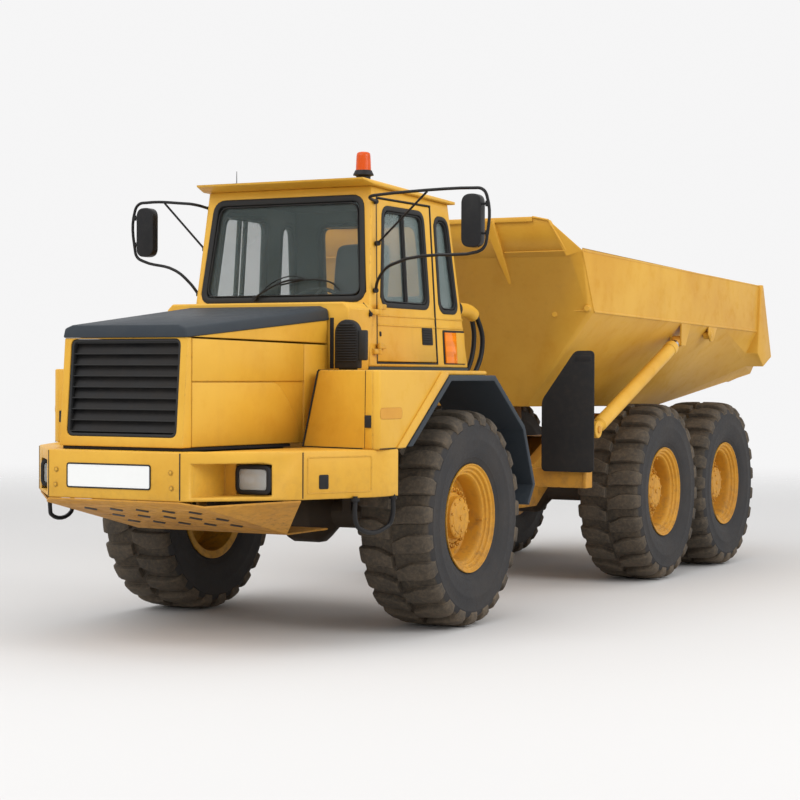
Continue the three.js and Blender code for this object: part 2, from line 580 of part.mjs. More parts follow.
function airIntake() {
  const { x0, x1, depth, top, boxX, boxLow, boxTop } = INTAKE;
  const low = FENDER.top + SEAT_GAP;
  const back = COWL.frontY - SEAT_GAP;
  const body = join(block(x0, x1, back - depth, back, low, top),
    block(x1 - 5, boxX, back - depth + 8, back - 8, boxLow, boxTop));
  const ribs = Array.from({ length: 7 }, (_, i) => block(x0 - 8, x1 - 12, back - depth - 8, back - 20,
    low + 60 + i * 40, low + 78 + i * 40));
  return join(body, ...ribs);
}

function mirrorFrame(side, reach) {
  const y = MIRROR.y;
  const pillar = between(CAB.halfBottom, CAB.halfTop, 0.93) + MIRROR.tube - SEAT_GAP;
  const frame = bentTube([[pillar, CAB.frontTop + 30, 3140], [pillar + 60, y, 3165],
    [reach - 60, y - 12, 3192], [reach, y - 12, 3140], [reach, y - 12, 2800],
    [reach - 70, y - 6, 2735], [CAB.halfBottom + 150, y + 10, 2660],
    [CAB.halfBottom - 22, CAB.frontBottom + 112, 2480]], MIRROR.tube, 6, 2);
  const head = prism('xz', windowOutline([reach - 190, reach - 34], [reach - 190, reach - 34],
    [2765, 3150], 45, 0), y - 45, y + 35);
  const stay = block(reach - 40, reach, y - 22, y - 2, 2950, 2980);
  const whole = join(frame, head, stay);
  return side > 0 ? whole : mirrored(whole);
}

// A yellow elbow behind the cab with two hoses down to the frame.
function hoses() {
  const elbow = cut(roundBar('y', 57, CAB.rearTop, 1440, 690, 2380, 12), cabHull(-SEAT_GAP, 10));
  const [footX, footY] = [385, RAIL.rear - 31];
  const hose = (x, bulge) => bentTube([[x, 1420, 2360], [x + 10, 1460 + bulge, 2180],
    [x, 1400 + bulge, 1960], [x - 60, 1260, 1700], [500, 1120, 1500], [footX, footY, 1400],
    [footX, footY, RAIL.top + 12]], 20, 8, 2);
  const fitting = roundBar('z', 30, RAIL.top + SEAT_GAP, RAIL.top + 50, footX, footY, 12);
  return join(elbow, hose(672, 0), hose(716, 80), fitting);
}

// ---------------------------------------------------------------- rear chassis
function hitch() {
  const { y, pin, sleeve, low, high } = PIVOT;
  const knuckle = roundBar('z', sleeve, low + SEAT_GAP, high - SEAT_GAP, 0, y, 24);
  const shaft = roundBar('y', ROLL.shaft, y, ROLL.rear + 40, 0, ROLL.z, 24);
  const collar = roundBar('y', ROLL.ring - 20, ROLL.front - 60, ROLL.front - SEAT_GAP, 0, ROLL.z, 24);
  const bore = roundBar('z', pin + PIN_GAP, low - 1, high + 1, 0, y, 24);
  return cut(join(knuckle, shaft, collar), bore);
}

function rearFrame() {
  const { x0, x1, lowBottom, lowTop, bottom, top, knee, rise, rear } = REAR_RAIL;
  const profile = [[ROLL.rear - 60, lowBottom], [knee, lowBottom], [rise, bottom], [rear, bottom],
    [rear, top], [rise - 60, top], [knee - 60, lowTop + 120], [ROLL.rear - 60, lowTop + 120]];
  const rail = prism('yz', profile, x0, x1);
  const ears = prism('yz', [[BODY.hingeY - 110, top - 1], [BODY.hingeY + 110, top - 1],
    [BODY.hingeY + 60, BODY.hingeZ + 60], [BODY.hingeY - 60, BODY.hingeZ + 60]], x0, x0 + 40);
  const [padFront, padRear] = [WHEELBASE + 350, WHEELBASE + 600];
  const pad = block(x0 + 10, x1 - 10, padFront, padRear, top - 1, bellyLine(padRear) - SEAT_GAP);
  const plateX = HOIST.x - HOIST.halfWidth - SEAT_GAP;
  const hoistArm = join(
    block(x1 - 1, plateX, HOIST.baseY - 60, HOIST.baseY + 60, 900, 1060),
    block(plateX - 34, plateX, HOIST.baseY - 75, HOIST.baseY + 48, 900, HOIST.baseZ + 60),
    roundBar('x', HOIST.pin, plateX - 1, HOIST.x + HOIST.halfWidth + 8, HOIST.baseY, HOIST.baseZ));
  const half = join(rail, ears, pad, hoistArm);
  const ring = roundBar('y', ROLL.ring, ROLL.front, ROLL.rear, 0, ROLL.z, 24);
  const cross = (y0, y1, z0, z1) => block(-x0 - 1, x0 + 1, y0, y1, z0, z1);
  const crosses = join(cross(knee - 300, knee - 180, lowBottom, lowTop),
    cross(BOGIE.pivotY - 70, BOGIE.pivotY + 70, bottom, top), cross(rear - 120, rear, bottom, top));
  const throat = block(-x1, x1, ROLL.rear - 60, ROLL.rear + 120, lowBottom, ROLL.z + 190);
  const bore = roundBar('y', ROLL.shaft + PIN_GAP, ROLL.front - 1, ROLL.rear + 60, 0, ROLL.z, 24);
  const pinBar = roundBar('x', BODY.pin, -x0 - 104, x0 + 104, BODY.hingeY, BODY.hingeZ);
  return cut(join(half, mirrored(half), ring, throat, crosses, pinBar), bore);
}

function rearAxle(y) {
  const pad = block(BOGIE.x0 + 10, BOGIE.x1 - 10, y - 90, y + 90, AXLE_Z, AXLE_Z + 150);
  return join(axleBeam(y), pad, mirrored(pad));
}

// Two walking beams over the axles, joined by the tube that they rock on.
function bogieBeams() {
  const low = AXLE_Z + 150 + SEAT_GAP;
  const y0 = AXLE_Y.bogie - 130;
  const y1 = AXLE_Y.last + 130;
  const beam = prism('yz', [[y0, low], [y1, low], [y1, low + 60], [BOGIE.pivotY + 260, low + 170],
    [BOGIE.pivotY - 260, low + 170], [y0, low + 60]], BOGIE.x0, BOGIE.x1);
  const bracketTop = REAR_RAIL.bottom - SEAT_GAP;
  const tube = roundBar('x', BOGIE.crossTube, -BOGIE.x0 - 1, BOGIE.x0 + 1, BOGIE.pivotY,
    bracketTop - BOGIE.crossTube, 16);
  const web = block(BOGIE.x0 - 20, BOGIE.x0 + 30, BOGIE.pivotY - 120, BOGIE.pivotY + 120,
    bracketTop - 2 * BOGIE.crossTube, low + 60);
  return join(beam, mirrored(beam), tube, web, mirrored(web));
}

// ---------------------------------------------------------------- dump body
// Underside of the body's floor at a given Y.
function bellyLine(y) {
  const { frontY, kneeY, tailY, floorFront, floorMid, tailFloor } = BODY;
  return y < kneeY ? between(floorFront, floorMid, (y - frontY) / (kneeY - frontY))
    : between(floorMid, tailFloor, (y - kneeY) / (tailY - kneeY));
}

// Two ears under the rail that take the hoist's upper pin between them.
function gusset(y) {
  const low = HOIST.topZ - 45;
  const ear = (x0, x1, top) => prism('yz', [[y - 45, low], [y + 60, low], [y + 240, top],
    [y - 45, top]], x0, x1);
  const gap = HOIST.halfWidth + SEAT_GAP;
  return join(ear(HOIST.x + gap, HOIST.x + gap + 16, 2400),
    ear(HOIST.x - gap - 16, HOIST.x - gap, 2300));
}

// Stations along the body: its nose, the shoulder under its rail, its rear post and corner.
const STATION = { noseY: BODY.frontY - 467, shoulderY: BODY.frontY - 213,
  postY: BODY.tailY - 280, cornerY: BODY.tailY - 140 };
const RAIL_LINE = { topFront: 2905, topRear: 2800, lowFront: 2400, lowRear: 2322 };

// Half sections of the body, one list of corners for each station along Y.
function bodyStations() {
  const { half, floorHalf, frontY, kneeY, tailY, floorFront, floorMid, tailFloor } = BODY;
  const { noseY, shoulderY, postY, cornerY } = STATION;
  const railTop = (y) => between(RAIL_LINE.topFront, RAIL_LINE.topRear,
    (y - noseY) / (postY - noseY));
  const railLow = (y) => between(RAIL_LINE.lowFront, RAIL_LINE.lowRear,
    (y - shoulderY) / (cornerY - shoulderY));
  return {
    nose: [[half, noseY, railTop(noseY)], [half, shoulderY, railLow(shoulderY)],
      [1210, noseY - 23, railTop(noseY)], [1320, shoulderY - 57, railLow(shoulderY) + 10],
      [floorHalf, frontY, floorFront]],
    knee: [[half, kneeY, railTop(kneeY)], [half, kneeY, railLow(kneeY)],
      [floorHalf, kneeY, floorMid]],
    tail: [[half, postY, railTop(postY)], [half, cornerY, railLow(cornerY)],
      [1290, tailY, 2200], [1150, tailY, tailFloor]],
  };
}

function bodyShell(grow = 0) {
  const { half, wall, rail, floorHalf, frontY, kneeY, floorFront, floorMid, tailY, tailFloor } = BODY;
  const { noseY, shoulderY, postY } = STATION;
  const past = tailY + 160;
  const { nose, knee, tail } = bodyStations();
  const grown = (points) => bothSides(points.map(([x, y, z]) => [x + grow, y, z]));
  const outer = join(hull(grown([...nose, ...knee])), hull(grown([...knee, ...tail])));
  const innerKnee = [[half - rail, kneeY, 3100], [half - rail, kneeY, 2780],
    [half - wall - 10, kneeY, 2330], [floorHalf - 20, kneeY, floorMid + wall]];
  const inner = join(
    hull(bothSides([[half - rail, noseY + 97, 3100], [half - rail, noseY + 157, 2880],
      [half - wall - 20, shoulderY + 83, 2380], [floorHalf - 20, frontY + 70, floorFront + wall],
      ...innerKnee])),
    hull(bothSides([...innerKnee, [half - rail, past, 3100], [half - rail, past, 2740],
      [half - wall - 30, past, 2300], [1115, past, tailFloor + wall + 37]])));
  const canopyFace = (y) => [[950, noseY - 133 + y, 3190], [1090, noseY - 123 + y, 3160],
    [1210, noseY - 23 + y, 2904], [1210, noseY - 15 + y, 2860]];
  const canopy = hull(bothSides([...canopyFace(0), ...canopyFace(60)]));
  const cheek = hull([0, 40].flatMap((t) => [[1090 - t, noseY - 123 + t, 3160],
    [1210 - t, noseY - 23 + t, 2860], [half - t, noseY + 3 + t, 2904],
    [half - t, noseY + 57 + t, 2850], [1180 - t, noseY + 157 + t, 3000]]));
  const rib = hull([[560, noseY - 13, 3170], [640, noseY - 13, 3170], [560, noseY - 113, 3170],
    [640, noseY - 113, 3170], [780, shoulderY - 57, 2520], [810, shoulderY - 57, 2520]]);
  const lip = hull(bothSides([[1100, tailY - 50, tailFloor - 15], [1100, tailY - 50, tailFloor + 5],
    [800, REAR_END, tailFloor - 90], [800, REAR_END, tailFloor - 60]]));
  const tailFrame = cut(prism('yz', [[postY - 60, 2812], [postY + 8, 2812], [tailY + 10, 2069],
    [tailY - 255, 1965], [tailY - 440, 2100]], 1180, half + 26), inner);
  return { outer, inner, extras: [canopy, cheek, mirrored(cheek), rib, mirrored(rib), lip,
    tailFrame, mirrored(tailFrame)] };
}

function dumpBody() {
  const { outer, inner, extras } = bodyShell();
  const { hingeY, hingeZ } = BODY;
  const x0 = REAR_RAIL.x0 + 40 + RUN_GAP;
  const onFloor = (y) => [y, 10 + bellyLine(y)];
  const lug = cut(prism('yz', [onFloor(hingeY - 170), [hingeY - 75, hingeZ - 40],
    [hingeY - 40, hingeZ - 75], [hingeY + 40, hingeZ - 75], [hingeY + 75, hingeZ - 40],
    onFloor(hingeY + 170)], x0, x0 + 50),
  roundBar('x', BODY.pin + PIN_GAP, x0 - 1, x0 + 51, hingeY, hingeZ, 16));
  const half = join(lug, gusset(HOIST.topY));
  return join(cut(outer, inner), ...extras, half, mirrored(half));
}

// A rubber sheet ahead of the bogie wheels, trimmed along the body's side.
function mudflap() {
  const sheet = prism('xz', [[840, 1036], [1330, 1036], [1330, 2050], [1305, 2076], [840, 2076]],
    FLAP_Y, FLAP_Y + 14);
  return cut(sheet, bodyShell(3 * SEAT_GAP).outer);
}

// ---------------------------------------------------------------- hoist cylinders
// A point on the cylinder's line, as far from its base pin as given.
function alongHoist(distance) {
  const { x, baseY, baseZ, topY, topZ } = HOIST;
  const length = Math.hypot(topY - baseY, topZ - baseZ);
  return [x, between(baseY, topY, distance / length), between(baseZ, topZ, distance / length)];
}
const HOIST_LENGTH = Math.hypot(HOIST.topY - HOIST.baseY, HOIST.topZ - HOIST.baseZ);

function hoistBarrel() {
  const { x, baseY, baseZ, barrel, rod, eye, pin, halfWidth } = HOIST;
  const tube = join(barBetween(alongHoist(eye + 40), alongHoist(HOIST_LENGTH - 150), barrel),
    barBetween(alongHoist(eye - 30), alongHoist(eye + 41), halfWidth - 2));
  const ring = roundBar('x', eye, x - halfWidth, x + halfWidth, baseY, baseZ, 20);
  const bore = barBetween(alongHoist(eye + 50), alongHoist(HOIST_LENGTH), rod + PIN_GAP);
  const pinHole = roundBar('x', pin + PIN_GAP, x - barrel, x + barrel, baseY, baseZ, 20);
  return cut(join(tube, ring), bore, pinHole);
}

function hoistRod() {
  const { x, topY, topZ, rod, eye, head, halfWidth } = HOIST;
  return join(barBetween(alongHoist(eye + 56), alongHoist(HOIST_LENGTH), rod - SEAT_GAP),
    roundBar('x', head, x - halfWidth, x + halfWidth, topY, topZ, 20));
}

// ---------------------------------------------------------------- assembly
wheels();
add('front_frame', frontFrame(), FRAME_YELLOW);
add('front_axle', frontAxle(), BLACK);
add('front_bumper', bumper(), YELLOW);
add('belly_plate', bellyPlate(), FRAME_YELLOW);
addPair('headlamp', headlamp(), LENS);
add('hood_panels', hoodPanels(), YELLOW);
add('grille', grille(), BLACK);
add('hood_lid', hoodLid(), SLATE);
add('hood_skirt', hoodSkirt(), YELLOW);
add('engine', engine(), STEEL);
add('cab_floor', cabFloor(), BLACK);
add('cab_shell', cabShell(), YELLOW);
add('cab_roof', cabRoof(), YELLOW);
add('door_left', door(), YELLOW);
for (const name of Object.keys(WINDOWS)) {
  add(name === 'windshield' ? name : `glass_${name}`, pane(name), GLASS);
}
add('seat', seat(), FABRIC);
add('dashboard', dashboard(), BLACK);
add('beacon', beacon(), AMBER);
addPair('fender', fender(), YELLOW);
addPair('arch_band', archBand(), SLATE);
add('air_intake', airIntake(), BLACK);
add('mirror_left', mirrorFrame(1, MIRROR.leftReach), BLACK);
add('mirror_right', mirrorFrame(-1, MIRROR.rightReach), BLACK);
add('rear_hoses', hoses(), BLACK);
add('hitch', hitch(), FRAME_YELLOW);
add('rear_frame', rearFrame(), FRAME_YELLOW);
add('bogie_beams', bogieBeams(), FRAME_YELLOW);
add('rear_axle_bogie', rearAxle(AXLE_Y.bogie), BLACK);
add('rear_axle_last', rearAxle(AXLE_Y.last), BLACK);
add('dump_body', dumpBody(), YELLOW);
addPair('mudflap', mudflap(), RUBBER);
addPair('hoist_barrel', hoistBarrel(), YELLOW);
addPair('hoist_rod', hoistRod(), STEEL);

truck.position.set(-ORIGIN_X, -ORIGIN_Y, 0);
export default truck;
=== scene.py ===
"""Finishes and detail pieces of an articulated dump truck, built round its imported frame.

Lengths are metres. The pieces are drawn in the truck's own stations: x from its centre
line, y from its front axle and z from the ground, with the nose towards -y.
"""
import json
import logging
import math
from dataclasses import dataclass, field
from enum import Enum
from typing import Any, Iterable, Optional, Sequence, Union

import bmesh
import bpy
from bmesh.types import BMEdge, BMesh, BMFace, BMVert
from mathutils import Matrix, Vector


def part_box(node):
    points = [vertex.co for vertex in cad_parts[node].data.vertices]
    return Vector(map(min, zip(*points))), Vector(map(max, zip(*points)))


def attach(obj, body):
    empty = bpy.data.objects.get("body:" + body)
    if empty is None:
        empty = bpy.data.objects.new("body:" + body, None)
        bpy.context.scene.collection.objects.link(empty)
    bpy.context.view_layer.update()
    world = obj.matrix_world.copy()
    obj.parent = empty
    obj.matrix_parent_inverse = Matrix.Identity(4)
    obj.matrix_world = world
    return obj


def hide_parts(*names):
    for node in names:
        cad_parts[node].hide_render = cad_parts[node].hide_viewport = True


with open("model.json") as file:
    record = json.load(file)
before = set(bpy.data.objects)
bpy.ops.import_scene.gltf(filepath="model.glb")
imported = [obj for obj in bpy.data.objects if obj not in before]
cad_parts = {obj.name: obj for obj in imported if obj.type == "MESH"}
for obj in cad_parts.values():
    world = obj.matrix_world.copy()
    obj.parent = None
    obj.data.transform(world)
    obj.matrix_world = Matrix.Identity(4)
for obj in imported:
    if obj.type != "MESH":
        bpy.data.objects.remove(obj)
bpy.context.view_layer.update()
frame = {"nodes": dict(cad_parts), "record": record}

LOG = logging.getLogger("truck")
SMOOTH = 34.0
CORNER = 0.9
MERGE = 1e-5
MERGE_PACKED = 2e-5

Point = tuple[float, float, float]
Flat = tuple[float, float]


def middle(node: str, axis: int) -> float:
    """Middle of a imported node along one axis."""
    low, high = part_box(node)
    return (low[axis] + high[axis]) / 2


HOME = Vector((middle("front_frame", 0), middle("tyre_front_left", 1), 0.0))


def between(a: float, b: float, t: float) -> float:
    """The value a share t of the way from a to b."""
    return a + (b - a) * t


# Shader writing.
class Sock:
    """A node's output that takes part in Python expressions."""

    def __init__(self, shader: "Shader", socket: bpy.types.NodeSocket) -> None:
        """Keeps the socket with the shader that it belongs to."""
        self.shader = shader
        self.socket = socket

    def out(self, name: str) -> "Sock":
        """Another output of the same node."""
        return Sock(self.shader, self.socket.node.outputs[name])

    def math(self, operation: str, *values: "Number") -> "Sock":
        """A Math node on this value and the others, in that order."""
        inputs = dict(enumerate([self, *values]))
        return self.shader.node("ShaderNodeMath", {"operation": operation}, inputs)

    def __add__(self, other: "Number") -> "Sock":
        """Sum."""
        return self.math("ADD", other)

    def __radd__(self, other: float) -> "Sock":
        """Sum with a plain number in front."""
        return self.math("ADD", other)

    def __sub__(self, other: "Number") -> "Sock":
        """Difference."""
        return self.math("SUBTRACT", other)

    def __rsub__(self, other: float) -> "Sock":
        """Difference from a plain number."""
        inputs = {0: other, 1: self}
        return self.shader.node("ShaderNodeMath", {"operation": "SUBTRACT"}, inputs)

    def __mul__(self, other: "Number") -> "Sock":
        """Product."""
        return self.math("MULTIPLY", other)

    def __rmul__(self, other: float) -> "Sock":
        """Product with a plain number in front."""
        return self.math("MULTIPLY", other)

    def __pow__(self, other: float) -> "Sock":
        """Power."""
        return self.math("POWER", other)

    def ramp(self, low: float, high: float) -> "Sock":
        """Runs smoothly from 0 at low to 1 at high.

        Args:
            low: The value that gives 0.
            high: The value that gives 1; it may be the smaller one.

        Returns:
            The eased value, held between 0 and 1.
        """
        settings = {"interpolation_type": "SMOOTHSTEP", "clamp": True}
        return self.shader.node("ShaderNodeMapRange", settings, {"Value": self, "From Min": low,
            "From Max": high, "To Min": 0.0, "To Max": 1.0})


Number = Union[Sock, float]
Colour = tuple[float, float, float]


class Shader:
    """One material's node tree, written with expressions."""

    def __init__(self, name: str) -> None:
        """Starts an empty material with its output node."""
        self.material = bpy.data.materials.new(name)
        self.material.use_nodes = True
        self.tree = self.material.node_tree
        self.tree.nodes.clear()
        self.output = self.tree.nodes.new("ShaderNodeOutputMaterial")
        coordinates = self.node("ShaderNodeTexCoord")
        self.place = coordinates.out("Object")

    def node(self, kind: str, settings: Optional[dict[str, Any]] = None,
            values: Optional[dict[Union[str, int], Any]] = None) -> Sock:
        """Makes any node.

        Args:
            kind: The node's type name.
            settings: Properties set before the sockets; "stops" holds a ramp's stops.
            values: Plain values or outputs for the input sockets, by name or number.

        Returns:
            The node's first output.
        """
        made = self.tree.nodes.new(kind)
        for key, value in (settings or {}).items():
            if key == "stops":
                self._stops(made, value)
            else:
                setattr(made, key, value)
        for key, value in (values or {}).items():
            socket = made.inputs[key]
            if isinstance(value, Sock):
                self.tree.links.new(value.socket, socket)
            else:
                socket.default_value = value
        return Sock(self, next(o for o in made.outputs if o.enabled))

    @staticmethod
    def _stops(made: bpy.types.Node, stops: Sequence[tuple[float, Colour]]) -> None:
        """Writes a colour ramp's stops."""
        elements = made.color_ramp.elements
        while len(elements) < len(stops):
            elements.new(0.5)
        for element, (position, colour) in zip(elements, stops):
            element.position = position
            element.color = (*colour, 1.0)

    def noise(self, scale: float, detail: float = 4.0, rough: float = 0.55,
            stretch: Optional[Point] = None) -> Sock:
        """Soft noise over the piece's place in the truck.

        Args:
            scale: Waves in a metre.
            detail: Octaves of finer noise.
            rough: Strength of the finer octaves.
            stretch: Scale along each axis, where the noise is drawn out.

        Returns:
            A value round 0.5.
        """
        vector = self.place
        if stretch is not None:
            vector = self.node("ShaderNodeMapping", {}, {"Vector": self.place, "Scale": stretch})
        return self.node("ShaderNodeTexNoise", {}, {"Vector": vector, "Scale": scale,
            "Detail": detail, "Roughness": rough})

    def mix(self, factor: Number, a: Union[Sock, Colour], b: Union[Sock, Colour]) -> Sock:
        """Blends two colours.

        Args:
            factor: Share of the second colour.
            a: The first colour.
            b: The second colour.

        Returns:
            The blended colour.
        """
        made = self.tree.nodes.new("ShaderNodeMix")
        made.data_type = "RGBA"
        for index, value in ((0, factor), (6, a), (7, b)):
            socket = made.inputs[index]
            if isinstance(value, Sock):
                self.tree.links.new(value.socket, socket)
            else:
                socket.default_value = value if index == 0 else (*value, 1.0)
        return Sock(self, made.outputs[2])

    def height(self) -> Sock:
        """Height above the ground."""
        return self.node("ShaderNodeSeparateXYZ", {}, {"Vector": self.place}).out("Z")

    def faces_up(self) -> Sock:
        """How far the surface faces up, from -1 to 1."""
        normal = self.node("ShaderNodeNewGeometry").out("Normal")
        return self.node("ShaderNodeSeparateXYZ", {}, {"Vector": normal}).out("Z")

    def rounded(self, radius: float) -> Sock:
        """A normal that turns round sharp edges over a small radius."""
        return self.node("ShaderNodeBevel", {"samples": 4}, {"Radius": radius})

    def edges(self, radius: float) -> Sock:
        """Is 1 on sharp edges and 0 away from them."""
        true_normal = self.node("ShaderNodeNewGeometry").out("True Normal")
        soft = self.rounded(radius)
        dot = self.node("ShaderNodeVectorMath", {"operation": "DOT_PRODUCT"},
            {0: soft, 1: true_normal}).out("Value")
        return (1.0 - dot).ramp(0.01, 0.12)

    def surface(self, colour: Union[Sock, Colour], rough: Number, metal: float = 0.0,
            bump: Optional[Sock] = None, strength: float = 0.2, depth: float = 0.004,
            edge: Optional[float] = None, **extra: Any) -> bpy.types.Material:
        """Ends the tree in a Principled surface.

        Args:
            colour: Base colour.
            rough: Roughness.
            metal: Metallic share.
            bump: Height for the bump.
            strength: The bump's strength.
            depth: The bump's height in metres.
            edge: Radius over which sharp edges look rounded.
            extra: Further plain values or outputs, with _ for the blank in a name.

        Returns:
            The finished material.
        """
        values: dict[Union[str, int], Any] = {"Roughness": rough, "Metallic": metal}
        values["Base Color"] = colour if isinstance(colour, Sock) else (*colour, 1.0)
        normal = self.rounded(edge) if edge else None
        if bump is not None:
            inputs: dict[Union[str, int], Any] = {"Height": bump, "Strength": strength,
                "Distance": depth}
            if normal is not None:
                inputs["Normal"] = normal
            normal = self.node("ShaderNodeBump", {}, inputs)
        if normal is not None:
            values["Normal"] = normal
        values.update({key.replace("_", " "): value for key, value in extra.items()})
        shader = self.node("ShaderNodeBsdfPrincipled", {}, values)
        self.tree.links.new(shader.socket, self.output.inputs["Surface"])
        return self.material


# Finishes.
@dataclass(frozen=True)
class WornPaint:
    """Satin enamel that has gathered dust and chipped on its edges, with painted highlights on its
    up-facing faces and along its sharp edges.
    """

    name: str
    colour: Colour
    deep: Colour
    rough: float = 0.42
    grime: float = 0.5
    chips: float = 0.4
    grime_top: float = 1.5
    dirt: Colour = (0.16, 0.095, 0.045)
    edge: float = 0.012

    def build(self) -> bpy.types.Material:
        """Writes the material."""
        sh = Shader(self.name)
        cloud = sh.noise(0.9, 5.0, 0.6).ramp(0.35, 0.72)
        patch = sh.noise(7.0, 6.0, 0.65).ramp(0.45, 0.75)
        streak = sh.noise(5.0, 4.0, 0.6, (1.0, 1.0, 0.12)).ramp(0.5, 0.78)
        colour = sh.mix(cloud * 0.75 + patch * 0.25, self.colour, self.deep)
        # Painted highlight: faces that point up are lightened, as if lit from above.
        top_highlight = sh.faces_up().ramp(0.5, 1.0) * 0.22
        colour = sh.mix(top_highlight, colour, tuple(min(1.0, c * 1.08 + 0.03) for c in self.colour))
        low = sh.height().ramp(self.grime_top, 0.45)
        spatter = sh.noise(16.0, 8.0, 0.7).ramp(0.42, 0.7)
        grime = (low * (spatter * 0.75 + 0.25) + streak * 0.14) * self.grime
        colour = sh.mix(grime, colour, self.dirt)
        edge = sh.edges(0.01)
        chipped = edge * sh.noise(22.0, 6.0, 0.7).ramp(0.52, 0.66)
        # Painted highlight: every sharp edge is lightened as if it caught the light; the dark chips
        # are real damage.
        colour = sh.mix(edge * 0.28, colour, tuple(min(1.0, c * 1.1 + 0.05) for c in self.colour))
        colour = sh.mix(chipped * self.chips, colour, (0.09, 0.045, 0.025))
        rough = self.rough + 0.16 * patch + 0.3 * grime
        bump = sh.noise(55.0, 3.0, 0.5) + patch * 0.4
        return sh.surface(colour, rough, bump=bump, strength=0.1, depth=0.002, edge=self.edge,
            Specular_IOR_Level=0.3)


@dataclass(frozen=True)
class TyreRubber:
    """Black rubber, earth-brown on its tread and grey on its smooth walls."""

    name: str = "tyre_rubber"
    wall: Colour = (0.028, 0.028, 0.03)
    tread: Colour = (0.04, 0.034, 0.027)
    dust: Colour = (0.165, 0.125, 0.085)

    def build(self) -> bpy.types.Material:
        """Writes the material; the tread attribute is 1 on lugs, 0.5 between, 0 on walls."""
        sh = Shader(self.name)
        tread = sh.node("ShaderNodeAttribute", {"attribute_name": "tread"}).out("Fac")
        cloud = sh.noise(3.0, 6.0, 0.65).ramp(0.35, 0.7)
        fine = sh.noise(34.0, 8.0, 0.75).ramp(0.38, 0.68)
        colour = sh.mix(tread.ramp(0.1, 0.5), self.wall, self.tread)
        on_tread = tread.ramp(0.1, 0.5) * (fine * 0.42 + cloud * 0.25)
        on_wall = (1.0 - tread.ramp(0.1, 0.5)) * (fine * 0.06 + cloud * 0.07)
        worn = tread.ramp(0.8, 1.0) * sh.edges(0.014) * 0.35
        colour = sh.mix(on_tread + on_wall + worn, colour, self.dust)
        low = sh.height().ramp(0.28, 0.0) * (0.25 + fine * 0.4) * tread.ramp(0.1, 0.5)
        colour = sh.mix(low, colour, self.dust)
        bump = sh.noise(60.0, 6.0, 0.7) + fine * 0.6
        return sh.surface(colour, 0.72 + 0.2 * fine, bump=bump, strength=0.32, depth=0.004,
            edge=0.008, Specular_IOR_Level=0.3)


@dataclass(frozen=True)
class Plain:
    """A moulded, rolled or cast finish: one colour with dust, mottling and fine grain."""

    name: str
    colour: Colour
    rough: float = 0.5
    metal: float = 0.0
    dust: float = 0.15
    dust_colour: Colour = (0.22, 0.17, 0.12)
    grain: float = 70.0
    strength: float = 0.15
    edge: float = 0.006
    # Share of painted highlight laid along sharp edges.
    edge_highlight: float = 0.15
    coat: float = 0.0

    def build(self) -> bpy.types.Material:
        """Writes the material."""
        sh = Shader(self.name)
        cloud = sh.noise(2.4, 5.0, 0.6).ramp(0.4, 0.72)
        fine = sh.noise(18.0, 8.0, 0.7).ramp(0.42, 0.7)
        up = sh.faces_up().ramp(-0.1, 0.9)
        amount = (cloud * 0.5 + fine * 0.5) * (0.45 + up * 0.55) * self.dust
        colour = sh.mix(amount, self.colour, self.dust_colour)
        # Painted highlight: sharp edges are lightened towards a lighter copy of the colour, as if
        # they caught the light.
        highlight_colour = tuple(min(1.0, c * 1.7 + 0.02) for c in self.colour)
        colour = sh.mix(sh.edges(0.01) * self.edge_highlight, colour, highlight_colour)
        bump = sh.noise(self.grain, 4.0, 0.6)
        rough = self.rough + 0.18 * cloud + 0.1 * fine
        return sh.surface(colour, rough, self.metal, bump, self.strength, 0.0015, self.edge,
            Coat_Weight=self.coat, Specular_IOR_Level=0.5 if self.metal else 0.2)


@dataclass(frozen=True)
class Pane:
    """Lightly tinted glazing with a film of dust."""

    name: str = "cab_glass"
    tint: Colour = (0.24, 0.31, 0.3)
    clear: float = 0.07

    def build(self) -> bpy.types.Material:
        """Writes the material."""
        sh = Shader(self.name)
        rim = sh.node("ShaderNodeFresnel", {}, {"IOR": 1.5})
        film = sh.noise(1.6, 5.0, 0.6).ramp(0.4, 0.8)
        alpha = self.clear + rim * 0.5 + film * 0.04
        colour = sh.mix(film * 0.4, self.tint, (0.4, 0.45, 0.44))
        return sh.surface(colour, 0.03 + 0.05 * film, Alpha=alpha, Specular_IOR_Level=0.9)


@dataclass(frozen=True)
class Lens:
    """Moulded lamp glass with fine flutes behind it."""

    name: str
    colour: Colour
    glow: float = 0.0
    flutes: float = 46.0
    solid: float = 1.0

    def build(self) -> bpy.types.Material:
        """Writes the material."""
        sh = Shader(self.name)
        wave = sh.node("ShaderNodeTexWave", {"bands_direction": "X"},
            {"Vector": sh.place, "Scale": self.flutes, "Distortion": 0.4})
        cloud = sh.noise(20.0, 4.0, 0.6)
        shade = tuple(c * 0.62 for c in self.colour)
        colour = sh.mix(wave.ramp(0.2, 0.8) * 0.4 + cloud * 0.2, self.colour, shade)
        return sh.surface(colour, 0.12 + 0.1 * cloud, bump=wave, strength=0.25, depth=0.002,
            Coat_Weight=0.15, Specular_IOR_Level=0.2, Emission_Color=(*self.colour, 1.0),
            Emission_Strength=self.glow, Alpha=self.solid)


@dataclass(frozen=True)
class Weave:
    """Dark woven seat cloth."""

    name: str = "seat_cloth"
    colour: Colour = (0.045, 0.05, 0.058)

    def build(self) -> bpy.types.Material:
        """Writes the material."""
        sh = Shader(self.name)
        warp = sh.node("ShaderNodeTexWave", {"bands_direction": "X"},
            {"Vector": sh.place, "Scale": 130.0, "Distortion": 1.0})
        weft = sh.node("ShaderNodeTexWave", {"bands_direction": "Z"},
            {"Vector": sh.place, "Scale": 130.0, "Distortion": 1.0})
        cloud = sh.noise(7.0, 5.0, 0.6)
        light = tuple(c * 2.1 for c in self.colour)
        colour = sh.mix(warp * weft * 0.6 + cloud * 0.25, self.colour, light)
        return sh.surface(colour, 0.9, bump=warp + weft, strength=0.3, depth=0.001,
            Sheen_Weight=0.3)


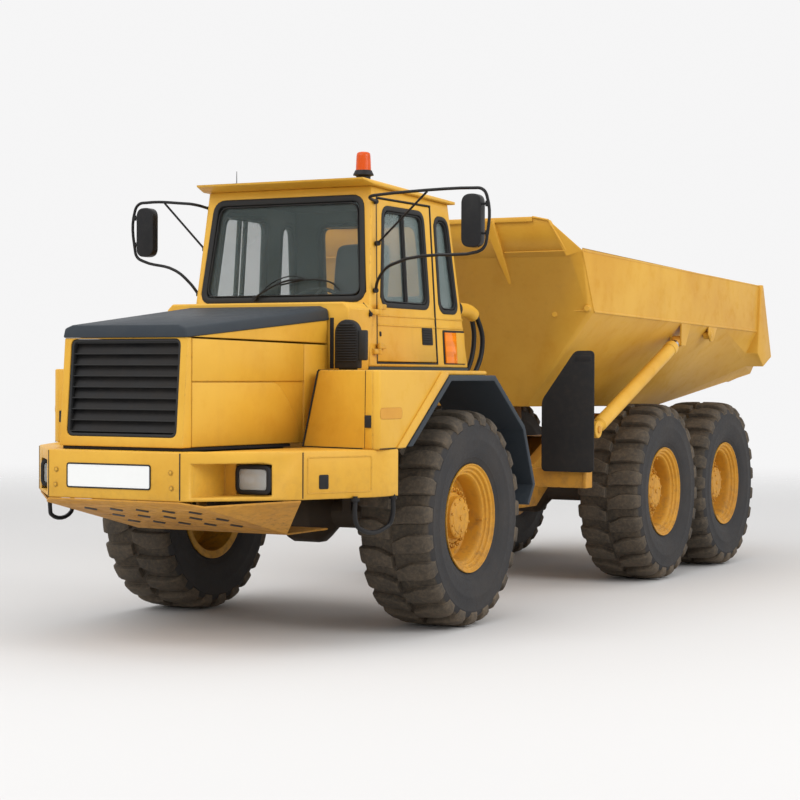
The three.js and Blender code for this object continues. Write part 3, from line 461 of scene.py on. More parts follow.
class Stuff(Enum):
    """Every finish on the truck."""

    YELLOW = WornPaint("panel_yellow", (0.7, 0.392, 0.042), (0.6, 0.3, 0.022))
    FRAME = WornPaint("frame_yellow", (0.62, 0.3, 0.035), (0.46, 0.2, 0.022), 0.55, 0.8, 0.5)
    BODY = WornPaint("body_yellow", (0.66, 0.365, 0.044), (0.55, 0.262, 0.018), 0.48, 0.45, 0.05,
        2.0)
    RIM = WornPaint("wheel_yellow", (0.68, 0.335, 0.024), (0.5, 0.215, 0.013), 0.45, 0.6, 0.8, 1.4,
        edge=0.006)
    SLATE = Plain("lid_slate", (0.03, 0.038, 0.047), 0.48, dust=0.1, edge_highlight=0.25,
        dust_colour=(0.25, 0.24, 0.22), grain=38.0)
    BLACK = Plain("black_plastic", (0.014, 0.014, 0.015), 0.45, dust=0.1)
    GASKET = Plain("window_gasket", (0.02, 0.021, 0.022), 0.5, dust=0.12, edge_highlight=0.05)
    TUBE = Plain("black_tube", (0.012, 0.012, 0.013), 0.3, dust=0.06, edge_highlight=0.1)
    RUBBER = Plain("flap_rubber", (0.016, 0.016, 0.017), 0.62, dust=0.16, edge_highlight=0.2)
    IRON = Plain("axle_iron", (0.05, 0.036, 0.024), 0.6, 0.35, dust=0.55, edge_highlight=0.2,
        dust_colour=(0.17, 0.11, 0.06), grain=30.0, strength=0.4)
    ENGINE = Plain("engine_iron", (0.1, 0.1, 0.095), 0.55, 0.4, dust=0.4, grain=25.0)
    CHROME = Plain("ram_chrome", (0.62, 0.62, 0.63), 0.14, 1.0, dust=0.05, strength=0.02)
    MIRROR = Plain("mirror_glass", (0.75, 0.77, 0.78), 0.04, 1.0, dust=0.03, strength=0.01)
    INSIDE = Plain("cab_trim", (0.046, 0.052, 0.05), 0.75, dust=0.1, edge_highlight=0.05)
    PLATE = Plain("plate_white", (0.82, 0.83, 0.82), 0.35, dust=0.07, edge_highlight=0.0)
    GLASS = Pane()
    TYRE = TyreRubber()
    CLOTH = Weave()
    CLEAR = Lens("clear_lens", (0.7, 0.72, 0.7), 0.0, 46.0, 0.42)
    AMBER = Lens("amber_lens", (0.66, 0.085, 0.002), 0.04, 60.0, 0.97)
    ORANGE = Lens("side_lamp_orange", (0.85, 0.21, 0.001), 0.1, 60.0)


BY_SLOT = {"yellow": Stuff.YELLOW, "frame_yellow": Stuff.FRAME, "rim_yellow": Stuff.RIM,
    "slate": Stuff.SLATE, "black_plastic": Stuff.BLACK, "rubber": Stuff.RUBBER, "tyre": Stuff.TYRE,
    "glass": Stuff.GLASS, "lamp_lens": Stuff.CLEAR, "amber": Stuff.AMBER,
    "seat_fabric": Stuff.CLOTH, "chrome": Stuff.CHROME, "axle_iron": Stuff.IRON}
SLOTS = {stuff: slot for slot, stuff in BY_SLOT.items()} | {Stuff.BODY: "yellow",
    Stuff.GASKET: "rubber", Stuff.TUBE: "black_plastic", Stuff.MIRROR: "chrome",
    Stuff.INSIDE: "black_plastic", Stuff.PLATE: "black_plastic", Stuff.ORANGE: "amber"}


class Dresser:
    """Builds each finish once and gives it out."""

    def __init__(self) -> None:
        """Starts with nothing built."""
        self.built: dict[Stuff, bpy.types.Material] = {}

    def __call__(self, stuff: Stuff) -> bpy.types.Material:
        """The material of a finish."""
        if stuff not in self.built:
            self.built[stuff] = stuff.value.build()
        return self.built[stuff]


DRESS = Dresser()


# Shape writing.
class Axis(Enum):
    """The axis that a turned shape runs along."""

    X = 0
    Y = 1
    Z = 2


def turned(profile: Sequence[Flat], axis: Axis, centre: Point, steps: int = 48) -> BMesh:
    """Turns a profile about an axis.

    Args:
        profile: Pairs of radius and place along the axis.
        axis: The axis to turn about.
        centre: Where the axis's zero lies.
        steps: Facets in the full turn.

    Returns:
        The turned shape, with its doubles merged and its faces pointing out.
    """
    bm = bmesh.new()
    rows = []
    for radius, along in profile:
        point = [0.0, 0.0, 0.0]
        point[axis.value] = along
        point[1 if axis is Axis.X else 0] = radius
        rows.append(bm.verts.new(point))
    lines = [bm.edges.new(pair) for pair in zip(rows, rows[1:])]
    way = [float(i == axis.value) for i in range(3)]
    bmesh.ops.spin(bm, geom=rows + lines, cent=(0, 0, 0), axis=way, dvec=(0, 0, 0),
        angle=2 * math.pi, steps=steps, use_merge=True, use_duplicate=False)
    bmesh.ops.remove_doubles(bm, verts=bm.verts, dist=MERGE)
    bmesh.ops.recalc_face_normals(bm, faces=bm.faces)
    bmesh.ops.translate(bm, vec=Vector(centre), verts=bm.verts)
    return bm


def slab(low: Point, high: Point, bevel: float = 0.0, segments: int = 2) -> BMesh:
    """A box between two corners, with rounded edges.

    Args:
        low: Lowest corner.
        high: Highest corner.
        bevel: Radius of the rounded edges.
        segments: Steps round an edge.

    Returns:
        The box.
    """
    bm = bmesh.new()
    bmesh.ops.create_cube(bm, size=1.0)
    size = [b - a for a, b in zip(low, high)]
    bmesh.ops.scale(bm, vec=size, verts=bm.verts)
    bmesh.ops.translate(bm, vec=[(a + b) / 2 for a, b in zip(low, high)], verts=bm.verts)
    if bevel > 0:
        round_off(bm, bm.edges, bevel, segments)
    return bm


def round_off(bm: BMesh, edges: Iterable[BMEdge], width: float, segments: int = 2) -> None:
    """Rounds the given edges."""
    bmesh.ops.bevel(bm, geom=list(edges), offset=width, offset_type="OFFSET", segments=segments,
        profile=0.5, affect="EDGES", clamp_overlap=True, material=-1)


def grow(bm: BMesh, push: Point) -> None:
    """Thickens an open sheet into a closed shape."""
    raised = bmesh.ops.extrude_face_region(bm, geom=list(bm.faces), use_keep_orig=True)
    moved = [v for v in raised["geom"] if isinstance(v, BMVert)]
    bmesh.ops.translate(bm, vec=push, verts=moved)
    bmesh.ops.recalc_face_normals(bm, faces=bm.faces)


def plate(outline: Sequence[Point], push: Point, bevel: float = 0.0, segments: int = 2) -> BMesh:
    """A flat outline given a thickness.

    Args:
        outline: The face's corners in order.
        push: The way and the distance that it is thickened.
        bevel: Radius of the rounded edges.
        segments: Steps round an edge.

    Returns:
        The plate.
    """
    bm = bmesh.new()
    bm.faces.new([bm.verts.new(p) for p in outline])
    grow(bm, push)
    if bevel > 0:
        round_off(bm, bm.edges, bevel, segments)
    return bm


def rounded_outline(corners: Sequence[Flat], radius: float, steps: int = 5) -> list[Flat]:
    """An outline with its corners turned into arcs.

    Args:
        corners: The sharp corners in order.
        radius: The distance from a corner at which its arc starts.
        steps: Points along an arc, less one.

    Returns:
        The rounded outline.
    """
    points: list[Flat] = []
    count = len(corners)
    for i, corner in enumerate(corners):
        here = Vector(corner)
        before = (Vector(corners[i - 1]) - here).normalized() * radius
        after = (Vector(corners[(i + 1) % count]) - here).normalized() * radius
        for k in range(steps + 1):
            t = k / steps
            arc = here + before * (1 - t) ** 2 + after * t ** 2
            points.append((arc.x, arc.y))
    return points


def shrunk(corners: Sequence[Flat], width: float) -> list[Flat]:
    """A convex outline with every side moved inwards.

    Args:
        corners: The outline's corners in order, anticlockwise.
        width: How far each side moves.

    Returns:
        The smaller outline's corners.
    """
    count = len(corners)
    points = []
    for i in range(count):
        before, here, after = (Vector(corners[(i + k) % count]) for k in (-1, 0, 1))
        one, two = (here - before).normalized(), (after - here).normalized()
        left_one, left_two = Vector((-one.y, one.x)), Vector((-two.y, two.x))
        point = here + (left_one + left_two) * (width / (1.0 + left_one.dot(left_two)))
        points.append((point.x, point.y))
    return points


def band(outer: Sequence[Flat], inner: Sequence[Flat], low: float, thick: float, bevel: float,
        segments: int = 2) -> BMesh:
    """A flat frame between two outlines.

    Args:
        outer: The outer outline.
        inner: The inner outline.
        low: Height of its lower face.
        thick: Its thickness.
        bevel: Radius of its rounded edges.
        segments: Steps round an edge.

    Returns:
        The frame.
    """
    bm = bmesh.new()
    rims = []
    for outline in (outer, inner):
        verts = [bm.verts.new((u, v, low)) for u, v in outline]
        rims += [bm.edges.new(pair) for pair in zip(verts, verts[1:] + verts[:1])]
    bmesh.ops.bridge_loops(bm, edges=rims)
    grow(bm, (0.0, 0.0, thick))
    corners = [e for e in bm.edges if len(e.link_faces) == 2 and e.calc_face_angle(0.0) > CORNER]
    round_off(bm, corners, bevel, segments)
    return bm


def ring_plate(corners: Sequence[Flat], radius: float, width: float, thick: float,
        place: Matrix) -> BMesh:
    """A flat frame such as a window's gasket.

    Args:
        corners: The outer outline's sharp corners, anticlockwise.
        radius: Rounding of those corners.
        width: Width of the frame's band.
        thick: Its thickness along the place's third axis.
        place: Where the outline's plane lies.

    Returns:
        The frame.
    """
    inner = rounded_outline(shrunk(corners, width), max(radius - width, 0.004))
    bm = band(rounded_outline(corners, radius), inner, 0.0, thick, min(thick, width) * 0.3)
    bmesh.ops.transform(bm, matrix=place, verts=bm.verts)
    return bm


def tube(points: Sequence[Point], radius: float, rounded: bool = True, sides: int = 3) -> BMesh:
    """A round tube through points, closed at its ends.

    Args:
        points: The route.
        radius: The tube's radius.
        rounded: Whether the route bends smoothly through its points.
        sides: Steps in a quarter of the tube's section.

    Returns:
        The tube.
    """
    curve = bpy.data.curves.new("route", "CURVE")
    curve.dimensions = "3D"
    curve.bevel_depth = radius
    curve.bevel_resolution = sides
    curve.use_fill_caps = True
    curve.resolution_u = 6
    spline = curve.splines.new("BEZIER" if rounded else "POLY")
    if rounded:
        spline.bezier_points.add(len(points) - 1)
        for knot, point in zip(spline.bezier_points, points):
            knot.co = point
            knot.handle_left_type = "AUTO"
            knot.handle_right_type = "AUTO"
    else:
        spline.points.add(len(points) - 1)
        for knot, point in zip(spline.points, points):
            knot.co = (*point, 1.0)
    holder = bpy.data.objects.new("route", curve)
    bpy.context.scene.collection.objects.link(holder)
    graph = bpy.context.evaluated_depsgraph_get()
    mesh = bpy.data.meshes.new_from_object(holder.evaluated_get(graph))
    bm = bmesh.new()
    bm.from_mesh(mesh)
    bmesh.ops.remove_doubles(bm, verts=bm.verts, dist=MERGE)
    bmesh.ops.recalc_face_normals(bm, faces=bm.faces)
    bpy.data.objects.remove(holder)
    bpy.data.meshes.remove(mesh)
    bpy.data.curves.remove(curve)
    return bm


def bar(start: Point, end: Point, radius: float, sides: int = 24,
        end_radius: Optional[float] = None) -> BMesh:
    """A straight round bar, or a cone, between two points.

    Args:
        start: Middle of its first end.
        end: Middle of its other end.
        radius: Radius at the start.
        sides: Facets round it.
        end_radius: Radius at the end, where it differs.

    Returns:
        The bar.
    """
    run = Vector(end) - Vector(start)
    bm = bmesh.new()
    bmesh.ops.create_cone(bm, cap_ends=True, cap_tris=False, segments=sides, radius1=radius,
        radius2=radius if end_radius is None else end_radius, depth=run.length)
    turn = run.to_track_quat("Z", "Y").to_matrix().to_4x4()
    bmesh.ops.transform(bm, matrix=Matrix.Translation(Vector(start) + run / 2) @ turn,
        verts=bm.verts)
    return bm


def bolt(place: Point, way: Point, radius: float, tall: float) -> BMesh:
    """A hexagon head standing on a surface."""
    return bar(place, tuple(Vector(place) + Vector(way).normalized() * tall), radius, 6)


SIDES = ("left", "right")


def mirrored(part: BMesh) -> BMesh:
    """The other hand of a part, about the centre line."""
    twin = part.copy()
    bmesh.ops.scale(twin, vec=(-1.0, 1.0, 1.0), verts=twin.verts)
    bmesh.ops.reverse_faces(twin, faces=twin.faces)
    return twin


def placed(mesh: bpy.types.Mesh, name: str, stuff: Stuff) -> bpy.types.Object:
    """A mesh as an object at the origin, in its finish."""
    piece = bpy.data.objects.new(name, mesh)
    bpy.context.scene.collection.objects.link(piece)
    mesh.materials.append(DRESS(stuff))
    return piece


class Form:
    """One piece's mesh, gathered from parts, in the truck's own stations."""

    def __init__(self, *parts: BMesh, side: str = "left") -> None:
        """Starts with some parts, which are drawn on the left for either side."""
        self.bm = bmesh.new()
        self.side = side
        self.take(*parts)

    def take(self, *parts: BMesh) -> None:
        """Adds parts on this form's side, and frees them."""
        for part in parts:
            if self.side == "right":
                drawn, part = part, mirrored(part)
                drawn.free()
            mesh = bpy.data.meshes.new("part")
            part.to_mesh(mesh)
            part.free()
            self.bm.from_mesh(mesh)
            bpy.data.meshes.remove(mesh)

    def both(self, *parts: BMesh) -> None:
        """Adds parts, each with its mirror image."""
        for part in parts:
            self.take(mirrored(part), part)

    def finish(self, name: str, stuff: Stuff, replaces: Sequence[str] = (),
            body: str = "front_unit", slot: Optional[str] = None,
            smooth: float = SMOOTH) -> bpy.types.Object:
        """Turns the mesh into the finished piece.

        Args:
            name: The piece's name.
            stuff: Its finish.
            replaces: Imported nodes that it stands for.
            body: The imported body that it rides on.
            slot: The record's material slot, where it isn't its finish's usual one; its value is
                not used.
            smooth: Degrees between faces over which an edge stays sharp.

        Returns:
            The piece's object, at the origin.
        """
        bmesh.ops.translate(self.bm, vec=HOME, verts=self.bm.verts)
        piece = placed(self.mesh(name, smooth), name, stuff)
        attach(piece, body)
        slot or SLOTS[stuff]
        if replaces:
            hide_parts(*replaces)
        LOG.info("%s: %d faces on %s", name, len(piece.data.polygons), body)
        return piece

    def mesh(self, name: str, smooth: float = SMOOTH) -> bpy.types.Mesh:
        """The gathered mesh, shaded smooth between its sharp edges."""
        mesh = bpy.data.meshes.new(name)
        self.bm.to_mesh(mesh)
        self.bm.free()
        mesh.shade_smooth()
        mesh.set_sharp_from_angle(angle=math.radians(smooth))
        return mesh


# Wheels.
@dataclass
class Wheel:
    """A lugged tyre on a deep dished rim, made once and set at each hub."""

    radius: float = 0.8025
    groove: float = 0.752
    tread_edge: float = 0.728
    lug_count: int = 23
    lug_stations: tuple[tuple[float, float, float, float], ...] = ((0.01, -0.016, 0.074, 0.8025),
        (0.06, -0.034, 0.066, 0.8025), (0.108, -0.058, 0.062, 0.8015), (0.15, -0.066, 0.062, 0.8),
        (0.2, -0.066, 0.06, 0.796), (0.24, -0.066, 0.06, 0.788), (0.27, -0.064, 0.057, 0.774),
        (0.2905, -0.06, 0.052, 0.748), (0.2945, -0.056, 0.046, 0.704))
    lug_spread: float = 1.16
    lug_root: float = 0.075
    lug_foot: float = 0.66
    lug_reach: float = 0.27
    nut_count: int = 20
    nut_ring: float = 0.212
    cap_bolts: int = 10
    cap_ring: float = 0.136
    first_turn: float = 0.05
    turn_step: float = 0.9

    def carcass(self) -> BMesh:
        """The tyre without its lugs."""
        groove = self.groove
        side = [(0.3768, 0.2215), (0.384, 0.229), (0.402, 0.233), (0.416, 0.244), (0.43, 0.251),
            (0.446, 0.26), (0.452, 0.2655), (0.46, 0.2655), (0.467, 0.2705), (0.52, 0.282),
            (0.575, 0.289), (0.586, 0.2925), (0.594, 0.29), (0.64, 0.2905), (0.676, 0.2895),
            (0.684, 0.2915), (0.69, 0.288), (0.716, 0.281), (0.736, 0.265), (groove - 0.004, 0.23),
            (groove, 0.15)]
        profile = [(r, -x) for r, x in side] + [(groove + 0.002, 0.0)] + side[::-1]
        return turned(profile + [profile[0]], Axis.X, (0, 0, 0), 96)

    def lug(self, turn: float, hand: float) -> BMesh:
        """One tread block.

        Args:
            turn: Its angle round the tyre, in radians.
            hand: 1 for the outer row, -1 for the inner row.

        Returns:
            The block, rooted in the carcass.
        """
        rows = self.lug_stations
        bm = bmesh.new()
        bmesh.ops.create_grid(bm, x_segments=len(rows) - 1, y_segments=2, size=0.5)
        grow(bm, (0.0, 0.0, 1.0))
        for vert in bm.verts:
            step = (vert.co.x + 0.5) * (len(rows) - 1)
            index = min(int(step + 0.001), len(rows) - 2)
            pairs = zip(rows[index], rows[index + 1])
            along, low, high, top = (between(a, b, step - index) for a, b in pairs)
            arc = between(low, high, vert.co.y + 0.5)
            rooted = vert.co.z < 0.5
            if rooted:
                arc = arc * self.lug_spread
                top = max(top - self.lug_root, self.lug_foot)
                along = min(along, self.lug_reach)
            angle = turn + arc / self.radius
            vert.co = (hand * along, top * math.cos(angle), top * math.sin(angle))
            vert.tag = not rooted
        bmesh.ops.recalc_face_normals(bm, faces=bm.faces)
        rims = [e for e in bm.edges if all(v.tag for v in e.verts) and e.calc_face_angle(0.0) > 0.6]
        round_off(bm, rims, 0.009, 2)
        return bm

    def tyre_mesh(self) -> bpy.types.Mesh:
        """The whole tyre about the origin, with the tread marked."""
        form = Form(self.carcass())
        carcass_count = len(form.bm.verts)
        pitch = 2 * math.pi / self.lug_count
        for i in range(self.lug_count):
            form.take(self.lug(i * pitch, 1.0), self.lug((i + 0.5) * pitch, -1.0))
        mesh = form.mesh("tyre", 38.0)
        mark = mesh.attributes.new("tread", "FLOAT", "POINT")
        for vert, value in zip(mesh.vertices, mark.data):
            radius = math.hypot(vert.co.y, vert.co.z)
            if vert.index >= carcass_count:
                value.value = 1.0
            elif radius > self.tread_edge:
                value.value = 0.5
        return mesh

    def rim_mesh(self) -> bpy.types.Mesh:
        """The whole rim about the origin, its dish towards +x."""
        profile = [(0.0, 0.168), (0.118, 0.168), (0.124, 0.162), (0.146, 0.158), (0.154, 0.15),
            (0.157, 0.112), (0.162, 0.104), (0.186, 0.1), (0.19, 0.082), (0.234, 0.078),
            (0.24, 0.07), (0.246, 0.052), (0.3, 0.048), (0.311, 0.06), (0.315, 0.15),
            (0.319, 0.178), (0.327, 0.188), (0.34, 0.189), (0.345, 0.196), (0.346, 0.207),
            (0.352, 0.212), (0.364, 0.212), (0.369, 0.219), (0.37, 0.23), (0.376, 0.236),
            (0.388, 0.237), (0.393, 0.245), (0.397, 0.253), (0.402, 0.253), (0.404, 0.246),
            (0.403, 0.239), (0.3785, 0.2235), (0.374, 0.218), (0.374, -0.218), (0.403, -0.238),
            (0.403, -0.252), (0.395, -0.252), (0.345, -0.242), (0.334, 0.02), (0.142, 0.008),
            (0.142, -0.06), (0.0, -0.06)]
        form = Form(turned(profile, Axis.X, (0, 0, 0), 72))
        for i in range(self.nut_count):
            angle = 2 * math.pi * i / self.nut_count
            y, z = self.nut_ring * math.cos(angle), self.nut_ring * math.sin(angle)
            form.take(bolt((0.078, y, z), (1, 0, 0), 0.0185, 0.026),
                bar((0.1, y, z), (0.118, y, z), 0.0095, 10))
        for i in range(self.cap_bolts):
            angle = 2 * math.pi * (i + 0.5) / self.cap_bolts
            y, z = self.cap_ring * math.cos(angle), self.cap_ring * math.sin(angle)
            form.take(bolt((0.156, y, z), (1, 0, 0), 0.0105, 0.012))
        for y, z in ((0.0, 0.0), (0.0, -0.092), (0.056, 0.066)):
            form.take(bolt((0.166, y, z), (1, 0, 0), 0.02 if y == z == 0.0 else 0.014, 0.01))
        form.take(bar((0.15, 0.3, -0.045), (0.196, 0.3, -0.045), 0.008, 12))
        return form.mesh("rim")

    def build(self) -> None:
        """Sets a tyre and a rim at each of the six hubs."""
        tyre, rim = self.tyre_mesh(), self.rim_mesh()
        hubs = [(row, side) for row in ("front", "bogie", "last") for side in SIDES]
        for index, (row, side) in enumerate(hubs):
            body = f"wheel_{row}_{side}"
            low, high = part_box(f"tyre_{row}_{side}")
            hub = Matrix.Translation((low + high) / 2)
            if side == "right":
                hub = hub @ Matrix.Rotation(math.pi, 4, "Z")
            hub = hub @ Matrix.Rotation(self.turn_step * index + self.first_turn, 4, "X")
            for name, mesh, stuff in (("tyre", tyre, Stuff.TYRE), ("rim", rim, Stuff.RIM)):
                copy = mesh.copy()
                copy.transform(hub)
                piece = placed(copy, f"{name}_{row}_{side}_detail", stuff)
                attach(piece, body)
                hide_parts(f"{name}_{row}_{side}")
                LOG.info("%s: %d faces on %s", piece.name, len(copy.polygons), body)


# Drawing planes.
@dataclass(frozen=True)
class Plane:
    """A plane to draw on, with its outward side given by across x up."""

    origin: Point
    across: Point = (1.0, 0.0, 0.0)
    up: Point = (0.0, 0.0, 1.0)

    def matrix(self) -> Matrix:
        """The plane's place, with its outward side as the third axis."""
        u, v = Vector(self.across), Vector(self.up)
        turn = Matrix((u, v, u.cross(v).normalized())).transposed().to_4x4()
        return Matrix.Translation(Vector(self.origin)) @ turn

    def at(self, u: float, v: float, out: float = 0.0) -> Point:
        """The point at a place on the plane, lifted outwards."""
        return tuple(self.matrix() @ Vector((u, v, out)))

    def raised(self, outline: Sequence[Flat], low: float, high: float, bevel: float = 0.0,
            segments: int = 2) -> BMesh:
        """A panel drawn on the plane.

        Args:
            outline: Its corners in order.
            low: Where its inner face lies, outwards from the plane.
            high: Where its outer face lies.
            bevel: Radius of its rounded edges.
            segments: Steps round an edge.

        Returns:
            The panel.
        """
        part = plate([(u, v, low) for u, v in outline], (0.0, 0.0, high - low), bevel, segments)
        bmesh.ops.transform(part, matrix=self.matrix(), verts=part.verts)
        bmesh.ops.recalc_face_normals(part, faces=part.faces)
        return part

    def ring(self, corners: Sequence[Flat], radius: float, width: float, low: float,
            high: float) -> BMesh:
        """A frame drawn on the plane.

        Args:
            corners: The outer outline's sharp corners.
            radius: Rounding of those corners.
            width: Width of the frame's band.
            low: Where its inner face lies, outwards from the plane.
            high: Where its outer face lies.

        Returns:
            The frame.
        """
        lift = Matrix.Translation((0.0, 0.0, low))
        return ring_plate(corners, radius, width, high - low, self.matrix() @ lift)


def quad(u0: float, u1: float, v0: float, v1: float) -> list[Flat]:
    """A rectangle's corners in order."""
    return [(u0, v0), (u1, v0), (u1, v1), (u0, v1)]


CAB_LEAN_SIDE, CAB_LEAN_FRONT, CAB_LEAN_REAR = 0.0631, 0.12332, 0.16254
LEFT_WALL = Plane((0.92115, 0.0, 0.0), (0.0, 1.0, 0.0), (-CAB_LEAN_SIDE, 0.0, 1.0))
RIGHT_WALL = Plane((-0.92115, 0.0, 0.0), (0.0, -1.0, 0.0), (CAB_LEAN_SIDE, 0.0, 1.0))
FRONT_WALL = Plane((0.0, -0.73677, 0.0), (1.0, 0.0, 0.0), (0.0, CAB_LEAN_FRONT, 1.0))
REAR_WALL = Plane((0.0, 1.42708, 0.0), (-1.0, 0.0, 0.0), (0.0, -CAB_LEAN_REAR, 1.0))
HOOD_FLARE = 0.08006
HOOD_SIDE = Plane((0.69663, 0.0, 0.0), (HOOD_FLARE, 1.0, 0.0))
NOSE_FACE = Plane((0.0, -2.456, 0.0))
BUMPER_FACE = Plane((0.0, -2.532, 0.0))
LAMP_FACE = Plane((0.0, -2.078, 0.0))
FENDER_SIDE = Plane((1.38, 0.0, 0.0), (0.0, 1.0, 0.0))


# Panels with real edges.
RECORD = frame["record"]
SLOT_OF = {part["node"]: part["material_slot"] for part in RECORD["subparts"]}
BODY_OF = {node: body for body, nodes in RECORD["behaviour"]["bodies"].items() for node in nodes}
PANEL_EDGES: dict[str, tuple[Stuff, float]] = {
    "front_bumper": (Stuff.YELLOW, 0.01), "hood_lid": (Stuff.SLATE, 0.012),
    "hood_skirt": (Stuff.YELLOW, 0.005), "cab_roof": (Stuff.YELLOW, 0.006),
    "fender_left": (Stuff.YELLOW, 0.012), "fender_right": (Stuff.YELLOW, 0.012),
    "arch_band_left": (Stuff.SLATE, 0.007), "arch_band_right": (Stuff.SLATE, 0.007),
    "belly_plate": (Stuff.FRAME, 0.004), "dump_body": (Stuff.BODY, 0.007),
    "front_frame": (Stuff.FRAME, 0.006), "rear_frame": (Stuff.FRAME, 0.008),
    "bogie_beams": (Stuff.FRAME, 0.012), "hitch": (Stuff.FRAME, 0.006),
    "cab_floor": (Stuff.INSIDE, 0.006), "front_axle": (Stuff.IRON, 0.012),
    "rear_axle_bogie": (Stuff.IRON, 0.012), "rear_axle_last": (Stuff.IRON, 0.012),
    "engine": (Stuff.ENGINE, 0.02)}


def packed_shape(node: str) -> BMesh:
    """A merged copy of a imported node's mesh, in the truck's stations, with its flats joined."""
    bm = bmesh.new()
    bm.from_mesh(frame["nodes"][node].data)
    bmesh.ops.remove_doubles(bm, verts=bm.verts, dist=MERGE_PACKED)
    bmesh.ops.dissolve_limit(bm, angle_limit=math.radians(0.4), verts=bm.verts, edges=bm.edges)
    bmesh.ops.translate(bm, vec=-HOME, verts=bm.verts)
    return bm


def broken_edges(bm: BMesh, width: float, least: float = 24.0, segments: int = 2) -> None:
    """Rounds a shape's outer corners where the faces beside them leave room.

    Args:
        bm: The shape.
        width: Radius of the rounding.
        least: Degrees between faces from which an edge counts as a corner.
        segments: Steps round an edge.
    """
    def room(edge: BMEdge) -> float:
        """The narrower of the two faces beside an edge, across the edge."""
        return min(face.calc_area() / max(e.calc_length() for e in face.edges)
            for face in edge.link_faces)

    picked = [e for e in bm.edges if len(e.link_faces) == 2 and e.calc_face_angle_signed(0.0)
        > math.radians(least) and e.calc_length() > 3.0 * width and room(e) > 2.2 * width]
    if picked:
        bmesh.ops.bevel(bm, geom=picked, offset=width, offset_type="OFFSET", segments=segments,
            profile=0.5, affect="EDGES", clamp_overlap=False, material=-1)


@dataclass
class Panels:
    """Sheet-metal nodes redone with rounded edges, each in its packed place."""

    cab: tuple[tuple[str, float], ...] = (("cab_shell", 0.012), ("door_left", 0.008))
    face_room: float = 0.008
    bumper_foot: float = 1.0295
    liner_depth: float = 0.04
    lug_half: float = 1.24
    lug_top: float = 2.295

    def build(self) -> None:
        """Builds every panel."""
        for node, (stuff, width) in PANEL_EDGES.items():
            bm = packed_shape(node)
            if node == "front_bumper":
                self.bare_bumper(bm)
            if node == "dump_body":
                self.flush_lugs(bm)
            broken_edges(bm, width)
            self.finish(bm, node, stuff)
        for node, width in self.cab:
            bm = packed_shape(node)
            broken_edges(bm, width)
            inner = [face.index for face in self.lining(bm)]
            piece = self.finish(bm, node, Stuff.YELLOW)
            piece.data.materials.append(DRESS(Stuff.INSIDE))
            for index in inner:
                piece.data.polygons[index].material_index = 1

    def bare_bumper(self, bm: BMesh) -> None:
        """Takes the step tubes off the bumper and makes room for its front's trim."""
        steps = [vert for vert in bm.verts if vert.co.z < self.bumper_foot]
        bmesh.ops.delete(bm, geom=steps, context="VERTS")
        bmesh.ops.holes_fill(bm, edges=[edge for edge in bm.edges if edge.is_boundary], sides=0)
        for vert in bm.verts:
            if vert.co.y < BUMPER_FACE.origin[1] - 0.003:
                vert.co.y += self.face_room

    def flush_lugs(self, bm: BMesh) -> None:
        """Ends the inner hoist lugs flush with the dump body's inside wall."""
        lugs = [vert for vert in bm.verts if abs(abs(vert.co.x) - self.lug_half) < 0.012
            and 4.4 < vert.co.y < 4.9]
        tips = [vert for vert in lugs if vert.co.z > self.lug_top]
        roots = [vert for vert in lugs if vert.co.z <= self.lug_top]
        for tip in tips:
            beside = [root for root in roots if abs(root.co.x - tip.co.x) < 0.002]
            tip.co = min(beside, key=lambda root: (root.co - tip.co).length).co
        bmesh.ops.remove_doubles(bm, verts=bm.verts, dist=MERGE_PACKED)

    def lining(self, bm: BMesh) -> list[BMFace]:
        """The faces of a cab panel that line its inside."""
        bm.faces.index_update()
        bm.faces.ensure_lookup_table()
        depth = self.liner_depth
        planes = (LEFT_WALL, RIGHT_WALL, FRONT_WALL, REAR_WALL)
        walls = [plane.matrix().inverted() for plane in planes]
        return [face for face in bm.faces
            if all((wall @ face.calc_center_median()).z < -depth for wall in walls)]

    @staticmethod
    def finish(bm: BMesh, node: str, stuff: Stuff) -> bpy.types.Object:
        """Puts a panel in its node's place."""
        form = Form()
        form.bm.free()
        form.bm = bm
        return form.finish(f"{node}_panel", stuff, [node], body=BODY_OF[node], slot=SLOT_OF[node],
            smooth=30.0)


